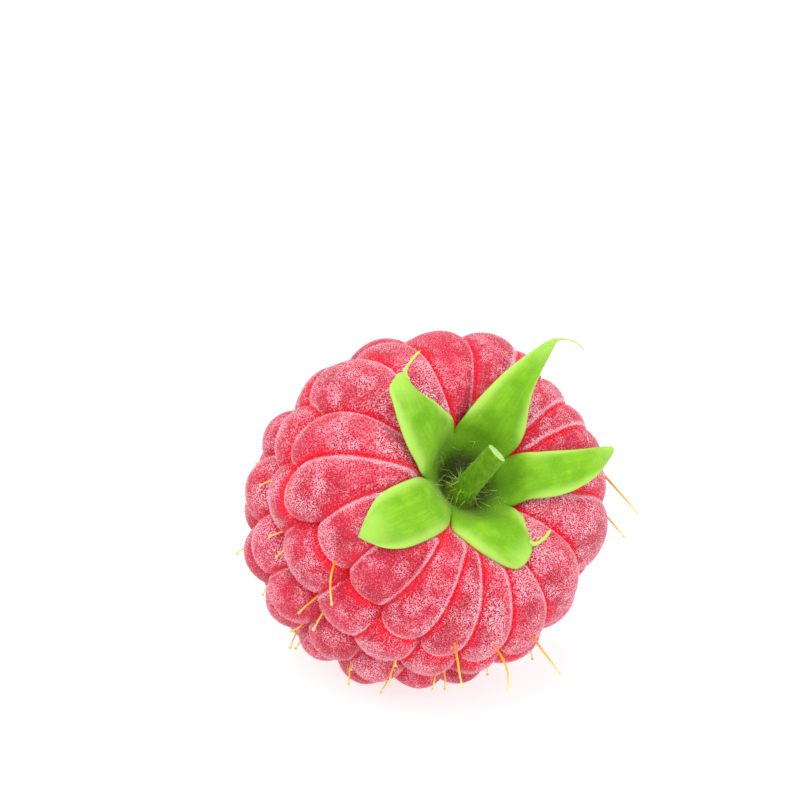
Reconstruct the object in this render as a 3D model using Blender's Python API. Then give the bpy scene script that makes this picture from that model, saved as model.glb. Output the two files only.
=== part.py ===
"""A ripe raspberry as picked: the cluster of drupelets, the calyx with its five sepals, and the cut stem.

The fruit is modelled upright in its own frame, with the stem end towards +Z and the outline of the
crown row at height 0. It is then laid on the table: its axis is raised by FRUIT_ELEVATION above the
table and turned by FRUIT_HEADING from the front (-Y) towards the right (+X). Units are metres.
"""

import itertools
import math
import random
from collections import namedtuple

import bmesh
import bpy
from mathutils import Matrix, Vector

MM = 0.001

# How the fruit lies. At this height its three lowest drupelets are pressed a little flat by the table.
FRUIT_ELEVATION = math.radians(38.8)
FRUIT_HEADING = math.radians(31.9)
FRUIT_HEIGHT = 13.62 * MM

# Rows of drupelets from the stem end to the tip. Radius and height place the row's centres, pitch is how
# far each drupelet's tip-ward end hangs below the horizontal, swing is how far the row is uneven, and drift
# is how far the row stands off the axis, because the fruit has grown a little crooked.
Row = namedtuple("Row", "count radius height length width depth pitch egg bend swing first drift")
ROWS = (
    Row(19, 6.40, 1.15, 4.30, 2.10, 2.30, 13, 0.28, 1.10, 1.0, -5, 0.0),
    Row(18, 8.35, -2.60, 2.65, 2.25, 2.45, 77, 0.12, 0.30, 0.7, 2, 0.15),
    Row(18, 8.20, -6.20, 2.40, 2.10, 2.45, 87, 0.08, 0.25, 0.5, 12, 0.45),
    Row(16, 7.15, -9.40, 2.35, 2.05, 2.40, 99, 0.06, 0.20, 0.2, 15, 0.75),
    Row(13, 5.35, -11.45, 2.25, 2.05, 2.30, 122, 0.05, 0.20, 0.0, 16, 0.90),
    Row(9, 3.40, -13.10, 2.10, 1.90, 2.20, 142, 0.0, 0.15, 0.0, 10, 1.0),
    Row(4, 1.45, -14.10, 1.95, 1.65, 2.05, 162, 0.0, 0.10, 0.0, 30, 1.0),
)
DRIFT_HEADING = math.radians(200)
# The rows swing round the fruit, so that drupelets are wide in some places and narrow in others: each
# swing is how often it goes round, how far it goes in degrees, and where it starts.
SWINGS = ((1, 7.9, -158), (2, 7.0, 89), (3, 2.7, 129))
# The crown row is more uneven: its drupelets stand at these turns, in degrees. WIDTH_KEPT is the part of a
# drupelet's width that doesn't follow its share of the row.
CROWN_TURNS = (1, 13, 28, 43, 57, 83, 106, 127, 153, 168, 189, 210, 228, 244, 258, 273, 291, 324, 345)
WIDTH_KEPT = 0.35
# In the crown row the leading drupelet stands proud, short and drawn in, and the others lap away from it
# both ways, with their ends curled towards it.
LEAD = math.radians(210)
LAP_REACH = math.radians(12)
LAP_ROLL = math.radians(30)
LEAD_RISE = 0.35 * MM
LEAD_SHORT = 0.10
LEAD_DRAW = 0.40 * MM
SWIRL = 0.85 * MM
SWIRL_MIDDLE = 0.35
SWIRL_FROM = math.radians(60)
SWIRL_TO = math.radians(110)
SWIRL_LEFT = 0.3
SIZE_SPREAD = 0.06
TURN_SPREAD = 0.06
SLIDE_SPREAD = 0.25 * MM
ROLL_SPREAD = math.radians(7)
LAYOUT_SEED = 11
CROWN_FACETS = (10, 7)
SIDE_FACETS = (8, 6)

# The core the drupelets grow from: radius and height of its outline, from the tip up to the seat.
CORE_OUTLINE = (
    (0.0, -14.9), (1.6, -14.5), (3.6, -13.3), (5.6, -11.6), (7.3, -9.4), (8.1, -6.2),
    (8.3, -2.6), (7.9, -0.6), (6.6, 1.2), (4.8, 1.6), (3.0, 1.4), (0.0, 1.3),
)
CORE_SIDES = 20
# The seat hollowed in the crown for the calyx cup: radius and height of its outline, from the bottom up.
SEAT_OUTLINE = ((0.0, -0.35), (1.9, -0.30), (2.6, 0.50), (3.0, 1.30), (3.5, 2.10), (4.2, 3.10), (0.0, 6.0))
SEAT_SIDES = 24

# The dried styles stand in the creases at both sides of the drupelets, for this share of each row's sides.
# They lean outwards and hang a little.
STYLE_SHARES = (0.35, 0.85, 0.85, 0.8, 0.7, 0.5, 0.0)
SECOND_STYLE = 0.35
STYLE_DROP = 0.3
STYLE_HANG = 0.45
STYLE_LENGTHS = (1.6 * MM, 2.7 * MM)
STYLE_SUNK = 0.8 * MM
STYLE_RADII = (0.13 * MM, 0.09 * MM)
STYLE_SIDES = 4
STYLE_CLEARANCE = 0.5 * MM
STYLE_SEED = 5

# The stem stands a little off the fruit's axis.
STEM_SHIFT = Vector((-0.43, -0.62, 0.0)) * MM
# The calyx: a cup in the middle, as radius and height of its middle layer, with a sepal from each
# stretch of its rim. The rim's notches are given by their azimuths.
CUP_OUTLINE = ((0.0, 0.25), (1.3, 0.30), (1.95, 0.85), (2.45, 1.60), (3.0, 2.40))
CUP_THICKNESS = 0.70 * MM
SEPAL_THICKNESS = 0.90 * MM
# Each sepal runs from one notch to the next: its length, its half widths along the way, its slope at the
# rim and at the tip, its sideways turn, and the thread at its tip by length, turn and rise.
Sepal = namedtuple("Sepal", "notch next_notch length near far lift droop turn thread thread_turn thread_rise")
SEPALS = (
    Sepal(90.0, 169.0, 7.3, 2.5, 1.4, 68, 5, 2, 2.0, -86, 20),
    Sepal(169.0, 221.6, 8.5, 2.7, 2.3, 68, -36, -9, 0.0, 0, 0),
    Sepal(221.6, 309.0, 5.1, 2.35, 2.15, 66, -24, 34, 2.3, 98, 25),
    Sepal(309.0, 372.4, 7.6, 1.5, 1.45, 68, -32, 35, 0.0, 0, 0),
    Sepal(12.4, 90.0, 8.2, 2.4, 0.9, 66, 5, -15, 2.1, -63, 6),
)
SEPAL_TIP = 0.22 * MM
SEPAL_COLUMNS = 6
SEPAL_STEPS = 8
THREAD_RADII = (0.17 * MM, 0.12 * MM)
THREAD_SIDES = 5

# The stem leans a little away from the fruit's axis on its way to the cut.
STEM_RADII = (0.70 * MM, 0.60 * MM)
STEM_BASE = 1.02 * MM
STEM_LENGTH = 5.23 * MM
STEM_LEAN = math.radians(9.8)
STEM_LEAN_HEADING = math.radians(74)
STEM_SIDES = 14

TABLE_SIZE = 60 * MM

COLOURS = {
    "drupelets": (0.78, 0.07, 0.12, 1.0),
    "calyx": (0.30, 0.55, 0.07, 1.0),
    "stem": (0.22, 0.45, 0.05, 1.0),
}
ROUGHNESS = {"drupelets": 0.55, "calyx": 0.60, "stem": 0.65}
SMOOTH_UNDER = math.radians(45)

Drupelet = namedtuple("Drupelet", "place length width depth egg bend swirl row azimuth")


def clear_scene():
    for obj in list(bpy.data.objects):
        bpy.data.objects.remove(obj)
    for collection in list(bpy.data.collections):
        bpy.data.collections.remove(collection)


def new_collection(name):
    collection = bpy.data.collections.new(name)
    bpy.context.scene.collection.children.link(collection)
    return collection


def new_object(name, shape, collection):
    """Object from a bmesh, which is used up."""
    mesh = bpy.data.meshes.new(name)
    bmesh.ops.recalc_face_normals(shape, faces=shape.faces)
    shape.to_mesh(mesh)
    shape.free()
    obj = bpy.data.objects.new(name, mesh)
    collection.objects.link(obj)
    return obj


def lying():
    """Matrix that lays the upright fruit on the table."""
    turn = Matrix.Rotation(FRUIT_HEADING, 4, "Z")
    tip_over = Matrix.Rotation(math.pi / 2 - FRUIT_ELEVATION, 4, "X")
    return Matrix.Translation((0, 0, FRUIT_HEIGHT)) @ turn @ tip_over


# Drupelets


def swung(turn, swing):
    """Azimuth of an evenly spaced turn after the swings, and how wide its share of the row has become."""
    azimuth = turn
    share = 1.0
    for times, degrees, start in SWINGS:
        reach = swing * math.radians(degrees)
        azimuth += reach * math.sin(times * turn + math.radians(start))
        share += times * reach * math.cos(times * turn + math.radians(start))
    return azimuth % (2 * math.pi), share


def crown_turn(i):
    """Azimuth of a drupelet of the crown row, and how wide its share of the row is."""
    count = len(CROWN_TURNS)
    before = CROWN_TURNS[i - 1] - (360 if i == 0 else 0)
    after = CROWN_TURNS[(i + 1) % count] + (360 if i == count - 1 else 0)
    return math.radians(CROWN_TURNS[i]), (after - before) / 2 * count / 360


def swirled(azimuth, lap):
    """How far the ends of a crown drupelet curl towards the lead, less and less away from it."""
    apart = (abs(azimuth - LEAD) - SWIRL_FROM) / (SWIRL_TO - SWIRL_FROM)
    return SWIRL * lap * (1 - (1 - SWIRL_LEFT) * min(1.0, max(0.0, apart)))


def drupelet_frame(azimuth, radius, height, pitch, roll):
    """Frame on the fruit: x across the meridian, y along it towards the tip, z outwards."""
    along = Vector((math.cos(pitch), 0, -math.sin(pitch)))
    outwards = Vector((math.sin(pitch), 0, math.cos(pitch)))
    frame = Matrix((along.cross(outwards), along, outwards)).transposed().to_4x4()
    turn = Matrix.Rotation(azimuth, 4, "Z") @ Matrix.Translation((radius, 0, height))
    return turn @ frame @ Matrix.Rotation(roll, 4, "Y")


def drupelets():
    """Every drupelet: its frame and its half sizes along that frame."""
    rng = random.Random(LAYOUT_SEED)
    found = []
    for number, row in enumerate(ROWS):
        drift = Matrix.Rotation(DRIFT_HEADING, 4, "Z") @ Vector((row.drift * MM, 0, 0))
        for i in range(row.count):
            turn = math.radians(row.first) + 2 * math.pi * (i + rng.uniform(-1, 1) * TURN_SPREAD) / row.count
            azimuth, share = crown_turn(i) if number == 0 else swung(turn, row.swing)
            size = 1 + rng.uniform(-1, 1) * SIZE_SPREAD
            slide = rng.uniform(-1, 1) * SLIDE_SPREAD
            roll = rng.uniform(-1, 1) * ROLL_SPREAD
            rise = lead = swirl = 0.0
            if number == 0:
                lap = math.tanh((azimuth - LEAD) / LAP_REACH)
                roll += LAP_ROLL * lap
                lead = 1 - lap * lap
                swirl = swirled(azimuth, lap)
                rise = LEAD_RISE * lead
                slide -= LEAD_DRAW * lead
            place = drupelet_frame(azimuth, row.radius * MM, row.height * MM, math.radians(row.pitch), roll)
            place = Matrix.Translation(drift) @ place @ Matrix.Translation((0, slide, rise))
            width = row.width * MM * size * (WIDTH_KEPT + (1 - WIDTH_KEPT) * share)
            length = row.length * MM * size * (1 - LEAD_SHORT * lead)
            depth = row.depth * MM * size
            bend = row.bend * MM
            found.append(Drupelet(place, length, width, depth, row.egg, bend, swirl, number, azimuth))
    return found


def drupelet_blob(drupelet, facets, collection):
    """One drupelet: an egg, wider towards its tip-ward end, bent along the fruit and curled sideways."""
    shape = bmesh.new()
    bmesh.ops.create_uvsphere(shape, u_segments=facets[0], v_segments=facets[1], radius=1)
    for vert in shape.verts:
        x, y, z = vert.co
        vert.co = (
            x * drupelet.width * (1 + drupelet.egg * y) + drupelet.swirl * (y * y - SWIRL_MIDDLE),
            y * drupelet.length,
            z * drupelet.depth - drupelet.bend * y * y,
        )
    shape.transform(drupelet.place)
    return new_object("drupelet", shape, collection)


def spun(outline, sides):
    """Closed body of revolution from (radius, height) points in millimetres, both ends on the axis."""
    shape = bmesh.new()
    points = [shape.verts.new((radius * MM, 0, height * MM)) for radius, height in outline]
    edges = [shape.edges.new(pair) for pair in zip(points, points[1:])]
    bmesh.ops.spin(
        shape,
        geom=points + edges,
        axis=(0, 0, 1),
        cent=(0, 0, 0),
        angle=2 * math.pi,
        steps=sides,
        use_merge=True,
    )
    bmesh.ops.remove_doubles(shape, verts=shape.verts, dist=0.0001 * MM)
    return shape


def tapered(root, tip, radii, sides):
    """Slim tapered prism from root to tip."""
    shape = bmesh.new()
    bmesh.ops.create_cone(
        shape,
        cap_ends=True,
        segments=sides,
        radius1=radii[0],
        radius2=radii[1],
        depth=(tip - root).length,
    )
    turn = (tip - root).to_track_quat("Z", "Y").to_matrix().to_4x4()
    shape.transform(Matrix.Translation((root + tip) / 2) @ turn)
    return shape


def style_lines(layout):
    """Root and tip of every style, in the fruit's frame, leaving out those that would reach the table."""
    rng = random.Random(STYLE_SEED)
    lay = lying()
    down = lay.to_3x3().inverted() @ Vector((0, 0, -1))
    lines = []
    for drupelet, side in itertools.product(layout, (-1, 1)):
        share = STYLE_SHARES[drupelet.row] * (SECOND_STYLE if side > 0 else 1.0)
        chosen = rng.random() < share
        length = rng.uniform(*STYLE_LENGTHS)
        lean = Vector((side * rng.uniform(-0.3, 0.8), rng.uniform(0.1, 1.3), 1.0)).normalized()
        across, along = side * rng.uniform(0.55, 0.90), rng.uniform(0.1, 0.8)
        if drupelet.row == 0:
            across, along = across * 0.6, 0.75 + 0.25 * along
        corner = Vector((across * drupelet.width, along * drupelet.length, 0.25 * drupelet.depth))
        root = drupelet.place @ corner
        heading = (drupelet.place.to_3x3() @ lean + down * STYLE_HANG).normalized()
        tip = root + heading * length
        root_height, tip_height = (lay @ root).z, (lay @ tip).z
        if chosen and STYLE_CLEARANCE < tip_height < root_height - STYLE_DROP * length:
            lines.append((root - heading * STYLE_SUNK, tip))
    return lines


def fused(core, repeats):
    """Core with every object of the repeats collection joined to it in one union."""
    join = core.modifiers.new("Join", "BOOLEAN")
    join.operation = "UNION"
    join.solver = "EXACT"
    join.operand_type = "COLLECTION"
    join.collection = repeats
    applied(core)
    for obj in list(repeats.objects):
        bpy.data.objects.remove(obj)
    bpy.data.collections.remove(repeats)
    return core


def applied(obj):
    """Put the result of the object's modifiers in its mesh."""
    bpy.context.view_layer.update()
    depsgraph = bpy.context.evaluated_depsgraph_get()
    mesh = bpy.data.meshes.new_from_object(obj.evaluated_get(depsgraph))
    obj.modifiers.clear()
    obj.data = mesh


def cut(obj, name, cutter):
    trim = obj.modifiers.new(name, "BOOLEAN")
    trim.operation = "DIFFERENCE"
    trim.solver = "EXACT"
    trim.object = cutter


def cutter_object(name, shape, cutters):
    cutter = new_object(name, shape, cutters)
    cutter.display_type = "WIRE"
    cutter.hide_render = True
    return cutter


def make_drupelets(parts, cutters, lay):
    layout = drupelets()
    core_shape = spun(CORE_OUTLINE, CORE_SIDES)
    core = new_object("drupelets", core_shape, parts)
    repeats = new_collection("repeats")
    for drupelet in layout:
        drupelet_blob(drupelet, CROWN_FACETS if drupelet.row == 0 else SIDE_FACETS, repeats)
    for root, tip in style_lines(layout):
        new_object("style", tapered(root, tip, STYLE_RADII, STYLE_SIDES), repeats)
    fused(core, repeats)
    core.data.transform(lay)
    seat_shape = spun(SEAT_OUTLINE, SEAT_SIDES)
    seat_shape.transform(lay)
    cut(core, "Seat", cutter_object("seat_cutter", seat_shape, cutters))
    table_shape = bmesh.new()
    bmesh.ops.create_cube(table_shape, size=TABLE_SIZE)
    table_shape.transform(Matrix.Translation((0, 0, -TABLE_SIZE / 2)))
    cut(core, "Table", cutter_object("table_cutter", table_shape, cutters))
    return core


# Calyx


def cup_point(azimuth, along):
    """Point of the cup's middle layer, along = 0 at its centre and 1 at its rim."""
    step = along * (len(CUP_OUTLINE) - 1)
    lower = min(int(step), len(CUP_OUTLINE) - 2)
    share = step - lower
    radius = (1 - share) * CUP_OUTLINE[lower][0] + share * CUP_OUTLINE[lower + 1][0]
    height = (1 - share) * CUP_OUTLINE[lower][1] + share * CUP_OUTLINE[lower + 1][1]
    return Vector((radius * MM * math.cos(azimuth), radius * MM * math.sin(azimuth), height * MM))


def sepal_midline(sepal, steps):
    """Stations from the rim to the tip: position, direction and sideways direction."""
    notch = math.radians(sepal.notch)
    next_notch = math.radians(sepal.next_notch)
    middle = (notch + next_notch) / 2
    position = (cup_point(notch, 1) + cup_point(next_notch, 1)) / 2
    stations = []
    for i in range(steps + 1):
        share = (i + 0.5) / steps
        heading = middle + math.radians(sepal.turn) * share
        slope = math.radians(sepal.lift + (sepal.droop - sepal.lift) * share)
        direction = Vector(
            (math.cos(heading) * math.cos(slope), math.sin(heading) * math.cos(slope), math.sin(slope))
        )
        sideways = Vector((-math.sin(heading), math.cos(heading), 0))
        stations.append((position.copy(), direction, sideways))
        position += direction * sepal.length * MM / steps
    return stations


def half_width(sepal, share):
    """Half width of a sepal from the rim (0) to the tip (1)."""
    notch = cup_point(math.radians(sepal.notch), 1)
    next_notch = cup_point(math.radians(sepal.next_notch), 1)
    rim = (notch - next_notch).length / 2
    rest = 1 - share
    return (
        rim * rest**3
        + 3 * sepal.near * MM * share * rest**2
        + 3 * sepal.far * MM * share**2 * rest
        + SEPAL_TIP * share**3
    )


def sheet_point(sepal, stations, row, column, side):
    """Point of the calyx: rows run from the cup's centre over the rim to the tip, columns across."""
    across = 2 * column / SEPAL_COLUMNS - 1
    cup_rows = len(CUP_OUTLINE) - 1
    azimuth = math.radians(sepal.notch + (sepal.next_notch - sepal.notch) * (across + 1) / 2)
    if row < cup_rows:
        here = cup_point(azimuth, row / cup_rows)
        ahead = cup_point(azimuth, (row + 1) / cup_rows) - here
        normal = Vector((math.sin(azimuth), -math.cos(azimuth), 0)).cross(ahead).normalized()
        if row == 0:
            normal = Vector((0, 0, 1))
        return here + normal * side * CUP_THICKNESS / 2
    step = row - cup_rows
    share = step / SEPAL_STEPS
    position, direction, sideways = stations[step]
    normal = direction.cross(sideways).normalized()
    rim_offset = cup_point(azimuth, 1) - stations[0][0] - stations[0][2] * across * half_width(sepal, 0)
    here = position + sideways * across * half_width(sepal, share) + rim_offset * (1 - share) ** 4
    swell = math.sqrt(max(0.0, 1 - across * across))
    taper = 1 - 0.45 * share
    return here + normal * side * swell * taper * SEPAL_THICKNESS / 2


def calyx_sheet():
    """The cup and the five sepals as one closed shape."""
    shape = bmesh.new()
    rows = len(CUP_OUTLINE) - 1 + SEPAL_STEPS
    for sepal in SEPALS:
        stations = sepal_midline(sepal, SEPAL_STEPS)
        for side in (-1, 1):
            grid = bmesh.ops.create_grid(shape, x_segments=SEPAL_COLUMNS, y_segments=rows, size=1)
            for vert in grid["verts"]:
                column = round((vert.co.x + 1) / 2 * SEPAL_COLUMNS)
                row = round((vert.co.y + 1) / 2 * rows)
                vert.co = sheet_point(sepal, stations, row, column, side)
    bmesh.ops.remove_doubles(shape, verts=shape.verts, dist=0.01 * MM)
    bmesh.ops.dissolve_degenerate(shape, edges=shape.edges, dist=0.01 * MM)
    bmesh.ops.holes_fill(shape, edges=[edge for edge in shape.edges if edge.is_boundary], sides=0)
    return shape


def thread_line(sepal):
    """Root and tip of the thread that a sepal ends in."""
    stations = sepal_midline(sepal, SEPAL_STEPS)
    position, direction, _ = stations[-1]
    heading = math.atan2(direction.y, direction.x) + math.radians(sepal.thread_turn)
    rise = math.radians(sepal.thread_rise)
    way = Vector((math.cos(heading) * math.cos(rise), math.sin(heading) * math.cos(rise), math.sin(rise)))
    root = position - direction * 1.2 * SEPAL_TIP
    return root, root + way * sepal.thread * MM


def make_calyx(parts, lay):
    calyx = new_object("calyx", calyx_sheet(), parts)
    threads = new_collection("threads")
    for sepal in SEPALS:
        if sepal.thread > 0:
            root, tip = thread_line(sepal)
            new_object("thread", tapered(root, tip, THREAD_RADII, THREAD_SIDES), threads)
    fused(calyx, threads)
    calyx.data.transform(lay)
    return calyx


# Stem


def make_stem(parts, lay):
    shape = bmesh.new()
    lean = Vector(
        (
            math.sin(STEM_LEAN) * math.cos(STEM_LEAN_HEADING),
            math.sin(STEM_LEAN) * math.sin(STEM_LEAN_HEADING),
            math.cos(STEM_LEAN),
        )
    )
    bmesh.ops.create_cone(
        shape,
        cap_ends=True,
        segments=STEM_SIDES,
        radius1=STEM_RADII[0],
        radius2=STEM_RADII[1],
        depth=STEM_LENGTH,
    )
    middle = STEM_SHIFT + Vector((0, 0, STEM_BASE)) + lean * STEM_LENGTH / 2
    shape.transform(Matrix.Translation(middle) @ lean.to_track_quat("Z", "Y").to_matrix().to_4x4())
    shape.transform(lay)
    return new_object("stem", shape, parts)


def finish(obj):
    """Material and smooth shading up to the sharp edges."""
    material = bpy.data.materials.new(obj.name)
    material.use_nodes = True
    surface = material.node_tree.nodes["Principled BSDF"]
    surface.inputs["Base Color"].default_value = COLOURS[obj.name]
    surface.inputs["Roughness"].default_value = ROUGHNESS[obj.name]
    obj.data.materials.clear()
    obj.data.materials.append(material)
    obj.data.shade_smooth()
    obj.data.set_sharp_from_angle(angle=SMOOTH_UNDER)


def centre_on_origin(objects):
    """Slide everything level so that the whole stands centred over the origin."""
    bpy.context.view_layer.update()
    corners = [Vector(corner) for obj in objects for corner in obj.bound_box]
    middle_x = (min(c.x for c in corners) + max(c.x for c in corners)) / 2
    middle_y = (min(c.y for c in corners) + max(c.y for c in corners)) / 2
    for obj in bpy.data.objects:
        obj.data.transform(Matrix.Translation((-middle_x, -middle_y, 0)))


def main():
    clear_scene()
    parts = new_collection("raspberry")
    cutters = new_collection("cutters")
    lay = lying()
    objects = [make_drupelets(parts, cutters, lay), make_calyx(parts, lay), make_stem(parts, lay)]
    for obj in objects:
        finish(obj)
    centre_on_origin(objects)


if __name__ == "__main__":
    main()
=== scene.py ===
"""Finished looks of a ripe raspberry as picked, built around its solid model.

Drupelets pressed against each other, their dried styles and fine hairs, the calyx with its five fleshy
sepals and the cut stem. The file is laid out as an add-on and is run as a script. Units are metres.
"""

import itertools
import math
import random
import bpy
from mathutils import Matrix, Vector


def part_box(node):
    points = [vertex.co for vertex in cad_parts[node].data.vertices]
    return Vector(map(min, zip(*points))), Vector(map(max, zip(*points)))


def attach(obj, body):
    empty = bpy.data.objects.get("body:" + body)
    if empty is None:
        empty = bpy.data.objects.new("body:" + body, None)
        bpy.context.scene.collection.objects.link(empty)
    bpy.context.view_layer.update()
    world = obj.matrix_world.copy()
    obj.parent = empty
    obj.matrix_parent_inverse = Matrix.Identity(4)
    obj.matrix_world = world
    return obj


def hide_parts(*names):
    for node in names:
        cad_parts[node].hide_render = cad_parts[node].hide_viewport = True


bl_info = {
    "name": "Raspberry",
    "version": (1, 0, 0),
    "blender": (4, 5, 0),
    "location": "3D View > Sidebar > Raspberry",
    "description": "Builds a ripe raspberry with calyx, stem, styles and fine hairs",
    "category": "Object",
}

from collections import namedtuple

import bmesh
import bpy
import numpy as np
from bpy.props import FloatProperty, FloatVectorProperty, PointerProperty
from mathutils import Matrix, Vector
from mathutils.bvhtree import BVHTree

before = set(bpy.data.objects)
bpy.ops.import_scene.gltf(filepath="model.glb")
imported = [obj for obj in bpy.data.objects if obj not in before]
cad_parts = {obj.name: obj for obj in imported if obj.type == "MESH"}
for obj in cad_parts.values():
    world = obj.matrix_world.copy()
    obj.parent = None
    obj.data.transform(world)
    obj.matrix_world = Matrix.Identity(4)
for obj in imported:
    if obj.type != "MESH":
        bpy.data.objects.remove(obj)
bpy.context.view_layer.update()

MM = 0.001

# How the fruit lies: its axis is raised above the table and turned from the front (-Y) towards +X.
FRUIT_ELEVATION = math.radians(38.8)
FRUIT_HEADING = math.radians(31.9)
FRUIT_HEIGHT = 13.62 * MM

# Rows of drupelets from the stem end to the tip, in millimetres and degrees. Radius and height place their
# centres, pitch is the angle from the stem's way to the way they face, and egg and bend shape them. Swing is
# how far SWINGS act on the row, first turns it, and drift is how far it has slid towards DRIFT_HEADING.
Row = namedtuple("Row", "count radius height length width depth pitch egg bend swing first drift")
ROWS = (
    Row(19, 6.40, 1.15, 4.30, 2.10, 2.30, 13, 0.28, 1.10, 1.0, -5, 0.0),
    Row(18, 8.35, -2.60, 2.65, 2.25, 2.45, 77, 0.12, 0.30, 0.7, 2, 0.15),
    Row(18, 8.20, -6.20, 2.40, 2.10, 2.45, 87, 0.08, 0.25, 0.5, 12, 0.45),
    Row(16, 7.15, -9.40, 2.35, 2.05, 2.40, 99, 0.06, 0.20, 0.2, 15, 0.75),
    Row(13, 5.35, -11.45, 2.25, 2.05, 2.30, 122, 0.05, 0.20, 0.0, 16, 0.90),
    Row(9, 3.40, -13.10, 2.10, 1.90, 2.20, 142, 0.0, 0.15, 0.0, 10, 1.0),
    Row(4, 1.45, -14.10, 1.95, 1.65, 2.05, 162, 0.0, 0.10, 0.0, 30, 1.0),
)
DRIFT_HEADING = math.radians(200)
# Share of a drupelet's width that stays the same however much room it has in its row.
WIDTH_KEPT = 0.35
# The swings of a row: how often each goes round the fruit, how far in degrees, and where it starts.
SWINGS = ((1, 7.9, -158), (2, 7.0, 89), (3, 2.7, 129))
# Where the crown row's drupelets stand round the fruit, in degrees.
CROWN_TURNS = (1, 13, 28, 43, 57, 83, 106, 127, 153, 168, 189, 210, 228, 244, 258, 273, 291, 324, 345)
# The crown row laps away on both sides from its leading drupelet, which stands higher, is shorter and is
# drawn in. The others roll by LAP_ROLL, and those within LAP_REACH of it by less.
LEAD = math.radians(210)
LEAD_RISE = 0.35 * MM
LEAD_SHORT = 0.10
LEAD_DRAW = 0.40 * MM
LAP_REACH = math.radians(12)
LAP_ROLL = math.radians(30)
# The ends of the crown drupelets curl towards the lead. From SWIRL_FROM to SWIRL_TO away from it this falls
# to SWIRL_LEFT.
SWIRL = 0.85 * MM
SWIRL_MIDDLE = 0.35
SWIRL_FROM = math.radians(60)
SWIRL_TO = math.radians(110)
SWIRL_LEFT = 0.3
# How much the drupelets differ in size, place and roll.
SIZE_SPREAD = 0.06
TURN_SPREAD = 0.06
SLIDE_SPREAD = 0.25 * MM
ROLL_SPREAD = math.radians(7)
LAYOUT_SEED = 11

# The receptacle inside, as radius and height in millimetres.
RECEPTACLE_OUTLINE = (
    (0.0, -14.7), (1.6, -14.3), (3.6, -13.1), (5.6, -11.4), (7.2, -9.4), (8.0, -6.2),
    (8.2, -2.6), (7.7, -0.6), (6.5, 1.1), (4.8, 1.5), (3.4, 1.4), (2.6, 0.4), (1.9, -0.4), (0.0, -0.45),
)
RECEPTACLE_SIDES = 96
# Heights of the calyx's underside, which dents the crown row: half the side of their square grid, the level
# they are felt for from, points along a side, how steeply and how many cells far the dent runs on past the
# sepals, and a clearance.
COVER_REACH = 10 * MM
COVER_FROM = -10 * MM
COVER_CELLS = 220
COVER_SLOPE = 1.3
COVER_SPREAD = 8
COVER_GAP = 0.05 * MM

# Pieces of drupelets: name, first and last row, faces along an edge of the cube each one starts from.
DRUPELET_PIECES = (
    ("crown_drupelets", 0, 0, 27),
    ("side_drupelets", 1, 2, 19),
    ("tip_drupelets", 3, 6, 17),
)
# How closely a drupelet's faces crowd on its outer side, and how far its skin is lobed.
OUTER_CROWDING = 0.66
LOBE_SPREAD = 0.035
LOBE_SEED = 21
TONE_SEED = 1311
# Shares of a drupelet's size between which its skin may stop, and the steps it is looked for in.
SCAN_FROM, SCAN_TO, SCAN_STEPS = 0.45, 1.45, 15
# Drupelets whose centres are nearer than this many times their sizes together can touch.
TOUCH_REACH = 1.25
# How soft the crease under a lapping neighbour is, as a share of the setting.
UNDER_SHOULDER = 0.35
# Distances to a neighbour, in shares of its size, over which the skin changes: from crease, where light
# through the flesh is painted in as a brighter red and a glow, to dome over the drupelets it lies on, the
# same under those that lap over it, and in, out and off its rim, where sheen is painted in as pale colour and
# denser flecks.
DOME_OVER = (0.995, 1.075)
DOME_UNDER = (1.0, 1.24)
SHEEN_RIM_INNER = (1.0, 1.05)
SHEEN_RIM_OUTER = (1.06, 1.22)
SHEEN_RIM_UNDER = (1.02, 1.20)
# Share of the hairs that the creases keep, and the height above the table over which hairs thin out.
CREASE_HAIR = 0.25
BARE_HEIGHT = 0.5 * MM

# Styles: the share of each row's drupelets that has one, and how much rarer a second one is. They hang, with
# their tips at least STYLE_DROP of their length below their roots, and stay off the table.
STYLE_SHARES = (0.35, 0.85, 0.85, 0.8, 0.7, 0.5, 0.0)
SECOND_STYLE = 0.35
STYLE_DROP = 0.3
STYLE_LENGTHS = (1.6 * MM, 2.7 * MM)
STYLE_CLEARANCE = 0.5 * MM
STYLE_SEED = 5
STYLE_HANG = 0.45
# Where they leave a drupelet, as shares of its half sizes, and how they lean. On the crown row they leave
# nearer a drupelet's far end.
STYLE_ACROSS = (0.55, 0.90)
STYLE_ALONG = (0.1, 0.8)
STYLE_DEPTH = 0.25
STYLE_LEAN_ACROSS = (-0.3, 0.8)
STYLE_LEAN_ALONG = (0.1, 1.3)
CROWN_STYLE_ACROSS = 0.6
CROWN_STYLE_ALONG = (0.75, 0.25)
# Their bend and their kink, which starts at KINK_FROM, as shares of their length.
STYLE_BEND = (0.02, 0.16)
STYLE_KINK = 0.12
KINK_FROM = 0.75
STYLE_POINTS = 9
STYLE_SIDES = 8
STYLE_SUNK = 0.6 * MM
# How thick they are at the root and at the tip, as shares of their radius.
STYLE_TAPER = (1.25, 0.72)

# Hairs: their sides, the least and the greatest share of their size, and their turn either way in radians.
HAIR_SEED = 31
HAIR_SIDES = 3
HAIR_SIZES = (0.55, 1.35)
HAIR_TURN = 3.1
DOWN = {"Length": 0.06 * MM, "Radius": 0.008 * MM, "Density": 40 / MM**2}
BRISTLES = {
    "Length": 0.75 * MM,
    "Radius": 0.020 * MM,
    "Density": 5.0 / MM**2,
    "Tilt": 0.9,
    "Where": "bristly",
}
# Hairs of the green pieces: the piece they grow on, their own name, their values, the node and its slot.
GREEN_HAIRS = (
    ("sepals", "sepal_down", DOWN, "calyx", "calyx_green"),
    ("sepals", "cup_bristles", BRISTLES, "calyx", "calyx_green"),
    ("cut_stem", "stem_down", DOWN, "stem", "stem_green"),
    ("cut_stem", "stem_bristles", BRISTLES, "stem", "stem_green"),
)

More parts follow.
